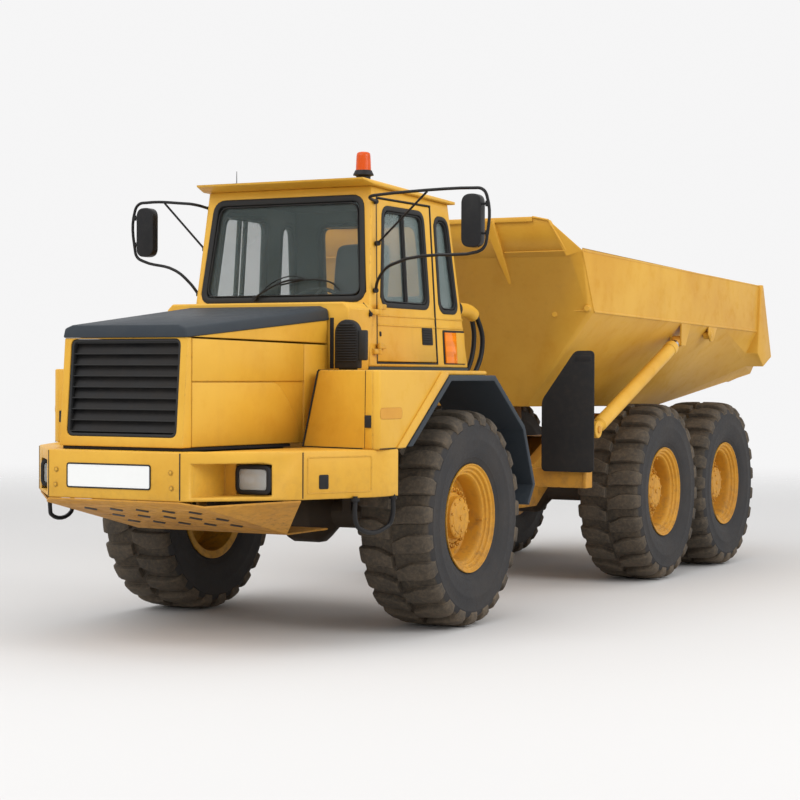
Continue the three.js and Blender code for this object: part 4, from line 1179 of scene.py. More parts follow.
# Nose.
@dataclass
class Nose:
    """The grille in its surround, the hood's side panels and the black joint under them."""

    half: float = 0.5
    bottom: float = 1.3755
    top: float = 2.0985
    depth: float = 0.094
    opening: tuple[float, float, float] = (0.4475, 1.4405, 2.0925)
    opening_radius: float = 0.05
    slats: int = 9
    slat_low: float = 1.4755
    slat_step: float = 0.0738
    rake: float = 0.06
    seam_front: float = -2.358
    seam_mid: float = -1.106
    rear: float = -0.814
    crease: float = 1.806
    lift: float = 0.013

    def surround(self) -> BMesh:
        """The yellow frame round the grille, which widens backwards with the hood."""
        half, low, high = self.opening
        bm = band(rounded_outline(quad(-self.half, self.half, self.bottom, self.top), 0.01),
            rounded_outline(quad(-half, half, low, high), self.opening_radius), -self.depth,
            self.depth, 0.009, 3)
        bmesh.ops.transform(bm, matrix=NOSE_FACE.matrix(), verts=bm.verts)
        for vert in bm.verts:
            vert.co.x *= 1.0 + HOOD_FLARE * (vert.co.y - NOSE_FACE.origin[1]) / self.half
            back = (vert.co.y - NOSE_FACE.origin[1]) / self.depth
            vert.co.y += self.lean(vert.co.z) * (1.0 - back)
        return bm

    def lean(self, z: float) -> float:
        """How far the nose leans back at a height."""
        return self.rake * (z - self.bottom) / (self.top - self.bottom)

    def side_panels(self) -> list[BMesh]:
        """One side's backing sheet and its three raised panels."""
        seam = [(self.seam_front, 2.0935), (self.rear, 2.072)]
        def edge(y: float) -> float:
            """Height of the panels' top at a place along the hood."""
            return between(seam[0][1], seam[1][1], (y - seam[0][0]) / (seam[1][0] - seam[0][0]))
        back = [(self.seam_front - 0.01, self.bottom + 0.002), (self.rear, self.bottom + 0.002),
            (self.rear, edge(self.rear)), (self.seam_front - 0.01, edge(self.seam_front))]
        a, b, low = self.seam_front + 0.004, self.seam_mid, self.bottom + 0.004
        upper = [(a, self.crease + 0.006), (b - 0.003, self.crease + 0.006), (b - 0.003, edge(b)),
            (a, edge(a))]
        rear = [(b + 0.003, low), (self.rear, low), (self.rear, edge(self.rear)),
            (b + 0.003, edge(b))]
        sweep = [(-1.47, self.crease - 0.002), (-1.425, 1.793), (-1.372, 1.76), (-1.3, 1.69),
            (-1.225, 1.595), (-1.189, 1.535), (-1.166, 1.455), (-1.156, low)]
        lower = [(a, low), *sweep[::-1], (a, self.crease - 0.002)]
        lift = self.lift
        return [HOOD_SIDE.raised(back, -0.028, -lift), HOOD_SIDE.raised(upper, -lift, 0.0, 0.004),
            HOOD_SIDE.raised(rear, -lift, -0.002, 0.003),
            HOOD_SIDE.raised(lower, -lift, -0.001, 0.004)]

    def grille(self) -> list[BMesh]:
        """The black frame and its slats."""
        half, low, high = self.opening
        ribs = [NOSE_FACE.ring(quad(-half, half, low, high), self.opening_radius, 0.022, -0.05,
            -0.006)]
        for i in range(self.slats):
            z, y = self.slat_low + i * self.slat_step, NOSE_FACE.origin[1] + 0.014
            ribs.append(slab((-half + 0.016, y, z - 0.004), (half - 0.016, y + 0.04, z + 0.005),
                0.003))
        return ribs

    def build(self) -> None:
        """Builds the nose."""
        panels = Form(self.surround())
        for part in self.side_panels():
            panels.both(part)
        panels.finish("hood_side_panels", Stuff.YELLOW, ["hood_panels"])
        half, low, high = self.opening
        grille, screen = Form(*self.grille()), Form()
        for i in range(self.slats + 1):
            z, x = self.slat_low + (i - 0.5) * self.slat_step, -half + 0.01
            screen.take(plate([(x, -2.424, z - 0.036), (x, -2.396, z + 0.036),
                (x, -2.386, z + 0.036), (x, -2.414, z - 0.036)], (-2 * x, 0.0, 0.0)))
        for form in (grille, screen):
            for vert in form.bm.verts:
                vert.co.z = min(vert.co.z, high - 0.002)
                vert.co.y += self.lean(vert.co.z)
        screen.finish("grille_screen", Stuff.BLACK)
        grille.finish("grille_slats", Stuff.GASKET, ["grille"], slot="black_plastic")
        joint = Form(slab((-0.48, -2.44, 1.3535), (0.48, -2.405, 1.375), 0.004))
        joint.both(HOOD_SIDE.raised(quad(-2.435, -1.25, 1.3535, 1.3765), -0.045, -0.014, 0.004),
            slab((0.636, -0.7975, 1.905), (0.668, -0.7935, 2.27), 0.0015))
        joint.finish("hood_joint", Stuff.RUBBER)


# Bumper.
@dataclass
class BumperTrim:
    """Headlamps, the blank plate, bolts, seams and the step tubes."""

    lamp: tuple[float, float, float, float] = (0.675, 0.947, 1.067, 1.263)
    lamp_radius: float = 0.052
    bezel: float = 0.03
    bowl_shape: Point = (1.18, 1.0, 0.86)
    plate_box: tuple[float, float, float, float] = (-0.377, 0.307, 1.1, 1.267)
    bolts: tuple[Flat, ...] = ((0.464, 1.218), (0.47, 1.118), (-0.464, 1.218), (-0.47, 1.118))
    step: tuple[Point, ...] = ((1.287, -1.56, 1.043), (1.289, -1.556, 0.87), (1.3, -1.53, 0.826),
        (1.352, -1.225, 0.826), (1.367, -1.196, 0.87), (1.373, -1.19, 1.043))

    def lamps(self) -> None:
        """The two headlamps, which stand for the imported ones."""
        x0, x1, z0, z1 = self.lamp
        x, y, z = (x0 + x1) / 2, LAMP_FACE.origin[1], (z0 + z1) / 2
        rim = self.bezel - 0.004
        for side in SIDES:
            ring = LAMP_FACE.ring(quad(x0, x1, z0, z1), self.lamp_radius, self.bezel, -0.1, 0.022)
            back = quad(x0 + 0.02, x1 - 0.02, z0 + 0.02, z1 - 0.02)
            bezel = Form(ring, LAMP_FACE.raised(back, -0.112, -0.1), side=side)
            bezel.finish(f"headlamp_bezel_{side}", Stuff.BLACK, [f"headlamp_{side}"])
            bowl = turned([(0.012, 0.062), (0.04, 0.056), (0.07, 0.04), (0.088, 0.012), (0.09, 0.0),
                (0.094, 0.0), (0.092, 0.014), (0.074, 0.045), (0.042, 0.062), (0.012, 0.068),
                (0.012, 0.062)], Axis.Y, (x, y, z), 40)
            bmesh.ops.scale(bowl, vec=self.bowl_shape, space=Matrix.Translation((-x, -y, -z)),
                verts=bowl.verts)
            bulb = bar((x, y + 0.06, z), (x, y + 0.012, z), 0.014, 20, 0.01)
            Form(bowl, bulb, side=side).finish(f"headlamp_bowl_{side}", Stuff.CHROME)
            front = rounded_outline(quad(x0 + rim, x1 - rim, z0 + rim, z1 - rim), 0.032)
            glass = LAMP_FACE.raised(front, -0.012, 0.014, 0.006, 3)
            Form(glass, side=side).finish(f"headlamp_lens_{side}", Stuff.CLEAR)

    def front_face(self) -> None:
        """The blank plate, its border, the bolts and the section seams."""
        x0, x1, z0, z1 = self.plate_box
        border = Form(BUMPER_FACE.ring(quad(x0, x1, z0, z1), 0.022, 0.01, 0.0, 0.0065))
        border.finish("number_plate_border", Stuff.BLACK)
        inner = rounded_outline(quad(x0 + 0.006, x1 - 0.006, z0 + 0.006, z1 - 0.006), 0.018)
        blank = Form(BUMPER_FACE.raised(inner, 0.0, 0.004))
        blank.finish("number_plate_blank", Stuff.PLATE)
        heads = Form()
        for x, z in self.bolts:
            heads.take(bar(BUMPER_FACE.at(x, z), BUMPER_FACE.at(x, z, 0.0025), 0.019, 24),
                bolt(BUMPER_FACE.at(x, z, 0.002), (0, -1, 0), 0.012, 0.005))
        heads.finish("bumper_bolts", Stuff.YELLOW)
        seams = Form()
        for x, y in ((0.5315, -2.5285), (1.0945, -1.9225)):
            seams.both(bar((x, y, 1.04), (x, y, 1.345), 0.0042, 8))
        side = Plane((1.093, -1.925, 0.0), (0.4363, 0.8998, 0.0))
        seams.both(side.raised(rounded_outline(quad(0.13, 0.205, 1.098, 1.194), 0.012), -0.004,
            0.004, 0.001))
        seams.finish("bumper_seams", Stuff.RUBBER)
        cap = Form()
        cap.both(side.ring(quad(0.035, 0.56, 1.068, 1.316), 0.02, 0.01, -0.002, 0.003))
        cap.finish("bumper_side_inset", Stuff.YELLOW)

    def steps(self) -> None:
        """The smooth step tubes, with their feet under the bumper."""
        form = Form()
        form.both(tube(self.step, 0.0158, True, 4))
        for point in (self.step[0], self.step[-1]):
            x, y, _ = point
            form.both(bar((x, y, 1.01), (x, y, 1.029), 0.028, 20))
        form.finish("step_tubes", Stuff.TUBE)

    def slot_shade(self) -> None:
        """Black pointed inlays on the sloping belly plate: painted shade over its openings, so that
        they read as dark holes.
        """
        belly = Plane((0.0, -2.535, 1.0157 - 0.0005), (1.0, 0.0, 0.0), (0.0, -1.0, 0.233))
        # Painted shade: thin black diamonds stand for the dark inside of the belly plate's
        # openings.
        form = Form()
        for row, y in enumerate((0.335, 0.585, 0.835)):
            for x in (-0.43, -0.215, 0.0, 0.215, 0.43):
                x += 0.05 * (row % 2)
                form.take(belly.raised([(x - 0.055, -y), (x, -y - 0.07), (x + 0.055, -y),
                    (x, -y + 0.07)], -0.001, 0.0015))
        form.finish("belly_slot_shade", Stuff.BLACK)

    def build(self) -> None:
        """Builds the bumper's trim."""
        self.slot_shade()
        self.lamps()
        self.front_face()
        self.steps()


# Cab.
@dataclass
class CabTrim:
    """Gaskets, window bars, door trim, wiper, side lamp and the belt crease."""

    gasket_low: float = -0.0585
    gasket_high: float = 0.007
    gasket_radius: float = 0.105
    gasket_grow: float = 0.008

    def gasket(self, plane: Plane, low: Flat, high: Flat, rows: Flat, width: float,
            form: Form) -> None:
        """Adds one window's gasket and its inner lip.

        Args:
            plane: The wall.
            low: The window's two edges along the wall at its foot.
            high: The same at its head.
            rows: Heights of its foot and head.
            width: Width of the gasket.
            form: What it is added to.
        """
        grow = self.gasket_grow
        corners = [(low[0] - grow, rows[0] - grow), (low[1] + grow, rows[0] - grow),
            (high[1] + grow, rows[1] + grow), (high[0] - grow, rows[1] + grow)]
        form.take(plane.ring(corners, self.gasket_radius, width, self.gasket_low, self.gasket_high))
        inset = width - 0.004
        lip = [(low[0] + inset, rows[0] + inset), (low[1] - inset, rows[0] + inset),
            (high[1] - inset, rows[1] - inset), (high[0] + inset, rows[1] - inset)]
        form.take(plane.ring(lip, self.gasket_radius * 0.75, 0.009, self.gasket_low,
            self.gasket_high - 0.008))

    def gaskets(self) -> None:
        """The gaskets of the fixed windows and of the door's window."""
        fixed = Form()
        self.gasket(FRONT_WALL, (-0.725, 0.725), (-0.655, 0.655), (2.4, 3.19), 0.052, fixed)
        self.gasket(REAR_WALL, (-0.5, 0.5), (-0.47, 0.47), (2.45, 3.1), 0.04, fixed)
        self.gasket(LEFT_WALL, (0.655, 0.985), (0.64, 0.87), (2.345, 3.1), 0.036, fixed)
        self.gasket(RIGHT_WALL, (-0.985, -0.655), (-0.87, -0.64), (2.345, 3.1), 0.036, fixed)
        self.gasket(RIGHT_WALL, (-0.5, 0.285), (-0.47, 0.195), (2.365, 3.12), 0.04, fixed)
        for u in (-0.078, -0.165):
            fixed.take(RIGHT_WALL.raised(quad(u - 0.011, u + 0.011, 2.4, 3.09), -0.036, -0.004))
        fixed.finish("window_gaskets", Stuff.GASKET)
        moving = Form()
        self.gasket(LEFT_WALL, (-0.285, 0.5), (-0.195, 0.47), (2.365, 3.12), 0.042, moving)
        moving.take(LEFT_WALL.raised(quad(0.118, 0.158, 2.395, 3.09), -0.034, -0.006))
        moving.finish("door_gasket", Stuff.GASKET, body="door")
        line = Form(LEFT_WALL.raised(quad(0.131, 0.141, 2.395, 3.09), -0.0055, -0.002))
        line.finish("door_window_joint", Stuff.TUBE, body="door")

    def creases(self) -> None:
        """The raised belt line, on the door and on the cab behind it."""
        rows = ((2.292, 2.306), (2.222, 2.238))
        door, shell = Form(), Form()
        for low, high in rows:
            door.take(LEFT_WALL.raised(quad(-0.35, 0.566, low, high), -0.002, 0.005, 0.0025))
            shell.take(LEFT_WALL.raised(quad(0.592, 1.052, low, high), -0.002, 0.005, 0.0025),
                RIGHT_WALL.raised(quad(-1.052, 0.35, low, high), -0.002, 0.005, 0.0025))
        door.finish("door_belt", Stuff.YELLOW, body="door")
        shell.finish("cab_belt", Stuff.YELLOW)

    def door_seal(self) -> None:
        """The black seal round the doorway."""
        seal = Form()
        for outline in ([(-0.391, 1.944), (-0.378, 1.944), (-0.268, 3.171), (-0.281, 3.181)],
                [(0.5815, 1.944), (0.594, 1.944), (0.594, 3.181), (0.5815, 3.171)],
                [(-0.391, 1.941), (0.594, 1.941), (0.594, 1.9515), (-0.391, 1.9515)],
                [(-0.281, 3.1715), (0.594, 3.1715), (0.594, 3.181), (-0.281, 3.181)]):
            seal.take(LEFT_WALL.raised(outline, -0.04, 0.0015))
        seal.finish("door_seal", Stuff.GASKET)

    def door_trim(self) -> None:
        """The pull with its louvres and the lock."""
        form = Form(LEFT_WALL.raised(rounded_outline(quad(0.345, 0.515, 2.09, 2.222), 0.012),
            -0.002, 0.006, 0.002))
        for i in range(6):
            z = 2.106 + i * 0.019
            form.take(LEFT_WALL.raised(quad(0.36, 0.5, z, z + 0.008), 0.004, 0.01, 0.0015))
        form.take(LEFT_WALL.raised(rounded_outline(quad(-0.329, -0.307, 2.144, 2.18), 0.009),
            -0.002, 0.007, 0.002))
        form.finish("door_pull", Stuff.BLACK, body="door")

    def side_lamp(self) -> None:
        """The amber lamp behind the door in its black frame, on each side."""
        frame_form, lens, cover = Form(), Form(), Form()
        frame_form.both(LEFT_WALL.raised(rounded_outline(quad(0.692, 1.064, 1.944, 2.212), 0.014),
            -0.002, 0.005, 0.0015))
        lens.both(LEFT_WALL.raised(quad(0.712, 0.905, 1.952, 2.194), 0.004, 0.015, 0.004))
        cover.both(LEFT_WALL.raised(quad(0.91, 1.056, 1.95, 2.196), 0.004, 0.011, 0.003))
        frame_form.finish("side_lamp_frame", Stuff.BLACK)
        lens.finish("side_lamp_lens", Stuff.ORANGE)
        cover.finish("side_lamp_cover", Stuff.YELLOW)

    def wiper(self) -> None:
        """The windshield wiper, its arm and its washer hose."""
        at = FRONT_WALL.at
        form = Form(bar(at(-0.218, 2.432, -0.002), at(-0.218, 2.432, 0.034), 0.02, 20))
        arm = ((-0.218, 2.432, 0.028), (-0.12, 2.484, 0.04), (0.066, 2.557, 0.036),
            (0.2, 2.566, 0.03))
        hose = ((-0.215, 2.44, 0.022), (-0.02, 2.56, 0.045), (0.12, 2.59, 0.036),
            (0.215, 2.572, 0.026))
        blade = ((0.0, 2.53, 0.016), (0.2, 2.562, 0.02), (0.364, 2.558, 0.018),
            (0.455, 2.53, 0.014), (0.5, 2.49, 0.012))
        for route, radius in ((arm, 0.0075), (hose, 0.0045), (blade, 0.0065)):
            form.take(tube([at(*point) for point in route], radius))
        form.finish("windshield_wiper", Stuff.TUBE)
        strap = Form(tube([(0.742, -0.5, 2.385), (0.788, -0.492, 2.33), (0.806, -0.47, 2.3)],
            0.0055), bar((0.8, -0.49, 2.285), (0.8, -0.49, 2.315), 0.013, 16))
        strap.finish("pillar_strap", Stuff.TUBE)

    def build(self) -> None:
        """Builds the cab's trim."""
        self.gaskets()
        self.creases()
        self.door_seal()
        self.door_trim()
        self.side_lamp()
        self.wiper()


@dataclass
class Interior:
    """The seat with its cushions, and the dash with its steering wheel."""

    crown: float = 0.035

    def cushion(self, name: str, low: Point, high: Point, lean: float) -> None:
        """One padded cushion.

        Args:
            name: Its name.
            low: Its lowest corner.
            high: Its highest corner.
            lean: How far its top leans back.
        """
        bm = slab(low, high)
        bmesh.ops.subdivide_edges(bm, edges=bm.edges, cuts=11, use_grid_fill=True)
        size = [b - a for a, b in zip(low, high)]
        mid = [(a + b) / 2 for a, b in zip(low, high)]
        for vert in bm.verts:
            share = [2 * (c - m) / s for c, m, s in zip(vert.co, mid, size)]
            pulled = [share[i] * (1.0 - 0.045 * sum(share[j] ** 4 for j in range(3) if j != i))
                for i in range(3)]
            vert.co = Vector([m + 0.5 * s * v for m, s, v in zip(mid, size, pulled)])
            seam = min(abs(abs(share[0]) - 0.55), 0.06) / 0.06
            thin = size.index(min(size))
            if abs(share[thin]) > 0.9:
                vert.co[thin] -= math.copysign(self.crown * 0.35 * (1.0 - seam), share[thin])
            vert.co.y += lean * (vert.co.z - low[2]) / size[2]
        for _ in range(3):
            bmesh.ops.smooth_vert(bm, verts=bm.verts, factor=0.5, use_axis_x=True, use_axis_y=True,
                use_axis_z=True)
        piece = Form(bm).finish(name, Stuff.CLOTH, ["seat"], smooth=60.0)

    def seat(self) -> None:
        """The seat on its sprung base."""
        self.cushion("seat_cushion", (-0.258, 0.242, 2.215), (0.258, 0.758, 2.348), 0.0)
        self.cushion("seat_back", (-0.238, 0.7, 2.345), (0.238, 0.795, 2.915), 0.078)
        base = Form(slab((-0.185, 0.34, 1.925), (0.185, 0.69, 1.985), 0.01))
        for i in range(5):
            z, fold = 1.985 + i * 0.042, 0.008 * (i % 2)
            base.take(slab((-0.165 + fold, 0.36, z), (0.165 - fold, 0.67, z + 0.041), 0.012))
        base.take(slab((-0.215, 0.27, 2.192), (0.215, 0.72, 2.222), 0.008))
        base.finish("seat_base", Stuff.BLACK)

    def dash(self) -> None:
        """The desk, its binnacle, the steering column and the wheel."""
        profile = [(-0.42, 1.924), (-0.255, 1.924), (-0.24, 2.2), (-0.185, 2.33), (-0.215, 2.385),
            (-0.375, 2.388), (-0.4, 2.3)]
        desk = plate([(-0.696, y, z) for y, z in profile], (1.392, 0.0, 0.0), 0.014)
        hood = [(-0.33, 2.36), (-0.165, 2.34), (-0.205, 2.44), (-0.33, 2.455)]
        binnacle = plate([(-0.23, y, z) for y, z in hood], (0.46, 0.0, 0.0), 0.02, 3)
        form = Form(desk, binnacle, bar((0.0, -0.24, 2.25), (0.0, -0.03, 2.4), 0.03, 24))
        wheel = turned([(0.1895, -0.013), (0.202, -0.014), (0.2145, -0.006), (0.2145, 0.006),
            (0.202, 0.014), (0.1895, 0.013), (0.1895, -0.013)], Axis.Z, (0, 0, 0), 56)
        hub = turned([(0.0, -0.016), (0.06, -0.012), (0.066, 0.0), (0.052, 0.014), (0.0, 0.02)],
            Axis.Z, (0, 0, 0), 32)
        spokes = []
        for angle in (math.pi / 2, math.pi * 1.08, -math.pi * 0.08):
            c, s = math.cos(angle), math.sin(angle)
            corners = [(r * c - w * s, r * s + w * c, -0.006)
                for r, w in ((0.05, 0.018), (0.195, 0.013), (0.195, -0.013), (0.05, -0.018))]
            spokes.append(plate(corners, (0.0, 0.0, 0.012), 0.003))
        tilt = Matrix.Translation((0.0, -0.015, 2.41)) @ Matrix.Rotation(math.radians(35), 4, "X")
        for part in (wheel, hub, *spokes):
            bmesh.ops.transform(part, matrix=tilt, verts=part.verts)
            form.take(part)
        form.finish("dash_and_wheel", Stuff.INSIDE, ["dashboard"])

    def build(self) -> None:
        """Builds the inside of the cab."""
        self.seat()
        self.dash()


# Roof and fender gear.
@dataclass
class RoofGear:
    """The beacon, the aerial, the air intake and the mirrors."""

    reach_left: float = 1.734
    reach_right: float = 1.314
    frame_y: float = -0.47
    tube_radius: float = 0.0115

    def beacon(self) -> None:
        """The amber beacon on its flared black foot."""
        low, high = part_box("beacon")
        x, y = (Vector(low + high) / 2 - HOME)[:2]
        z = low[2]
        foot = Form(turned([(0.0, 0.0), (0.06, 0.0), (0.06, 0.006), (0.054, 0.012), (0.054, 0.056),
            (0.062, 0.063), (0.0775, 0.066), (0.0775, 0.074), (0.07, 0.088), (0.0625, 0.104),
            (0.0, 0.106)], Axis.Z, (x, y, z), 48))
        foot.finish("beacon_foot", Stuff.BLACK, ["beacon"])
        outline: list[Flat] = [(0.0, 0.1045), (0.059, 0.1045)]
        for i in range(10):
            step = 0.108 + i * 0.011
            outline += [(0.0585 - 0.0005 * i, step), (0.0574 - 0.0005 * i, step + 0.0055)]
        outline += [(0.0525, 0.22), (0.049, 0.232), (0.04, 0.24), (0.022, 0.2435), (0.0, 0.2442)]
        dome = Form(turned(outline, Axis.Z, (x, y, z), 56))
        dome.finish("beacon_dome", Stuff.AMBER)
        core = Form(turned([(0.0, 0.106), (0.03, 0.106), (0.034, 0.135), (0.026, 0.165),
            (0.03, 0.19), (0.0, 0.198)], Axis.Z, (x, y, z), 32))
        core.finish("beacon_core", Stuff.CHROME)

    def headliner(self) -> None:
        """The dark lining under the roof."""
        form = Form(slab((-0.65, -0.268, 3.186), (0.65, 0.838, 3.2), 0.005))
        form.finish("roof_lining", Stuff.INSIDE)

    def aerial(self) -> None:
        """The short aerial by the right front corner."""
        form = Form(bar((-0.405, -0.43, 3.29), (-0.405, -0.43, 3.312), 0.014, 20, 0.009),
            bar((-0.405, -0.43, 3.305), (-0.405, -0.43, 3.402), 0.0035, 10, 0.0022))
        form.finish("aerial", Stuff.TUBE)

    def intake(self) -> None:
        """The louvred air intake and the box behind it."""
        front = Plane((0.0, -0.8645, 0.0))
        mid, half, crown = 0.8065, 0.0965, 2.158
        arch = [(mid - half, 1.905), (mid + half, 1.905)]
        turns = [math.pi * k / 14 for k in range(15)]
        arch += [(mid + half * math.cos(a), crown + half * math.sin(a)) for a in turns]
        form = Form(front.raised(arch, -0.07, -0.006, 0.008, 3))
        for i in range(15):
            z, reach = 1.955 + i * 0.0185, half - 0.012
            if z >= crown:
                reach = math.sqrt(max(reach ** 2 - (z + 0.008 - crown) ** 2, 0.0004))
            form.take(slab((mid - reach, -0.8675, z), (mid + reach, -0.85, z + 0.009), 0.003))
        form.take(slab((0.74, -0.85, 1.8935), (0.873, -0.803, 1.915), 0.006))
        form.finish("intake_louvres", Stuff.BLACK, ["air_intake"])
        box = Form(slab((0.899, -0.852, 1.962), (0.9595, -0.803, 2.178), 0.01))
        box.finish("intake_box", Stuff.GASKET, slot="black_plastic")

    def mirror(self, side: str, reach: float) -> None:
        """One mirror on its bent frame.

        Args:
            side: "left" or "right".
            reach: Distance of the frame's outer bar from the centre line.
        """
        y, bar_y = self.frame_y, self.frame_y - 0.012
        route = [(0.735, -0.305, 3.14), (0.78, y + 0.005, 3.163), (0.86, y - 0.006, 3.172),
            (reach - 0.11, bar_y, 3.19), (reach - 0.035, bar_y, 3.178), (reach, bar_y, 3.13),
            (reach, bar_y, 2.83), (reach - 0.02, y - 0.01, 2.77), (reach - 0.08, y - 0.006, 2.735),
            (0.95, y + 0.01, 2.66), (0.83, y + 0.04, 2.56), (0.784, -0.388, 2.48)]
        brace = [(between(0.735, reach, 0.52), y - 0.008, 3.18), (0.768, -0.33, 2.83)]
        arm = Form(tube(route, self.tube_radius, True, 4), tube(brace, 0.0085, False, 3), side=side)
        for a, b, c in (route[0], route[-1], brace[1]):
            arm.take(bar((a - 0.02, b + 0.012, c), (a + 0.012, b - 0.008, c), 0.019, 20))
        for z in (2.865, 3.075):
            arm.take(bar((reach - 0.052, bar_y, z), (reach - 0.004, bar_y, z), 0.0085, 12),
                bar((reach, bar_y, z - 0.02), (reach, bar_y, z + 0.02), 0.0114, 20))
        face = Plane((0.0, y - 0.005, 0.0))
        outline = rounded_outline(quad(reach - 0.19, reach - 0.034, 2.768, 3.148), 0.07, 8)
        arm.take(face.raised(outline, -0.036, 0.038, 0.022, 4))
        arm.finish(f"mirror_arm_{side}", Stuff.TUBE, [f"mirror_{side}"], smooth=40.0)
        outline = rounded_outline(quad(reach - 0.177, reach - 0.047, 2.782, 3.134), 0.06, 8)
        glass = Form(face.raised(outline, -0.0385, -0.034), side=side)
        glass.finish(f"mirror_pane_{side}", Stuff.MIRROR)

    def build(self) -> None:
        """Builds the gear on the roof and beside the cab."""
        self.beacon()
        self.headliner()
        self.aerial()
        self.intake()
        self.mirror("left", self.reach_left)
        self.mirror("right", self.reach_right)


@dataclass
class FenderTrim:
    """Corner posts with their locks, the side groove painted as a darker flush panel of recess
    shade, and the dark joints.
    """

    def build(self) -> None:
        """Builds the trim of both fenders."""
        front = Plane((0.675, -1.228, 0.0), (0.96401, -0.26587, 0.0))
        post = [(1.262, -1.392, 1.357), (1.333, -1.4115, 1.357), (1.333, -1.4115, 1.888),
            (1.262, -1.383, 1.888)]
        brace = [(-1.16, 1.357), (-1.04, 1.357), (-0.39, 1.855), (-0.39, 1.889), (-0.48, 1.889)]
        posts = Form()
        posts.both(plate(post, (0.0, 0.022, 0.0), 0.005),
            FENDER_SIDE.raised(brace, -0.002, 0.012, 0.005))
        posts.finish("fender_posts", Stuff.YELLOW)
        groove = [(1.258, -1.3885, 1.36), (1.2625, -1.3905, 1.36), (1.2625, -1.3845, 1.888),
            (1.258, -1.3825, 1.888)]
        joints = Form()
        joints.both(slab((1.27, -1.4145, 1.5), (1.322, -1.3985, 1.585), 0.004),
            plate(groove, (0, 0.012, 0)),
            front.raised(quad(0.012, 0.585, 1.3535, 1.36), -0.02, 0.0015),
            FENDER_SIDE.raised(quad(-1.385, -1.16, 1.3535, 1.36), -0.02, 0.0015),
            bar((0.672, -1.226, 1.357), (0.672, -1.024, 1.886), 0.0065, 8),
            bar((0.676, -1.022, 1.8905), (0.812, -1.06, 1.8905), 0.0055, 8))
        # Painted shade: a flush panel in the darker frame paint stands for the shade inside the
        # fender's side recess.
        recess_shade = Form()
        recess_shade.both(FENDER_SIDE.raised(rounded_outline(quad(-1.386, -1.075, 1.556, 1.636), 0.03),
            -0.002, 0.0012))
        recess_shade.finish("fender_recess_shade", Stuff.FRAME, slot="yellow")
        joints.finish("fender_joints", Stuff.RUBBER)


# Hoist, hoses and body.
@dataclass
class Hoist:
    """The two cylinders: a painted barrel with its eye, and a chromed rod with its own."""

    foot: Point = (1.29, 2.56, 1.4)
    head: Point = (1.29, 4.56, 2.19)
    barrel: float = 0.062
    rod: float = 0.0412
    rod_start: float = 0.13

    def at(self, distance: float) -> Point:
        """The point on the cylinder's line at a distance from its foot."""
        way = (Vector(self.head) - Vector(self.foot)).normalized()
        return tuple(Vector(self.foot) + way * distance)

    def eye(self, place: Point, radius: float, hole: float, half: float) -> BMesh:
        """A bored eye with rounded rims."""
        rim = 0.006
        return turned([(hole, -half), (radius - rim, -half), (radius, rim - half),
            (radius, half - rim), (radius - rim, half), (hole, half), (hole, -half)], Axis.X, place,
            40)

    def build(self) -> None:
        """Builds both cylinders."""
        length = (Vector(self.head) - Vector(self.foot)).length
        lengths = ((0.045, 0.1, 0.039, 0.045), (0.1, 0.118, 0.045, self.barrel),
            (0.118, length - 0.245, self.barrel, self.barrel),
            (length - 0.247, length - 0.243, 0.058, 0.058),
            (length - 0.243, length - 0.158, 0.066, 0.066),
            (length - 0.158, length - 0.1515, 0.066, 0.054))
        for side in SIDES:
            barrel = Form(self.eye(self.foot, 0.072, 0.0302, 0.0415), side=side)
            for start, end, radius, last in lengths:
                barrel.take(bar(self.at(start), self.at(end), radius, 40, last))
            tube_body, rod_body = f"hoist_barrel_{side}", f"hoist_rod_{side}"
            barrel.finish(f"hoist_tube_{side}", Stuff.YELLOW, [tube_body], body=tube_body,
                smooth=40.0)
            rod = Form(bar(self.at(self.rod_start), self.at(length - 0.046), self.rod, 40),
                side=side)
            rod.finish(f"hoist_ram_{side}", Stuff.CHROME, [rod_body], body=rod_body)
            neck = bar(self.at(length - 0.075), self.at(length - 0.04), 0.0415, 32)
            head = Form(self.eye(self.head, 0.05, 0.028, 0.0415), neck, side=side)
            head.finish(f"hoist_head_{side}", Stuff.FRAME, body=rod_body)


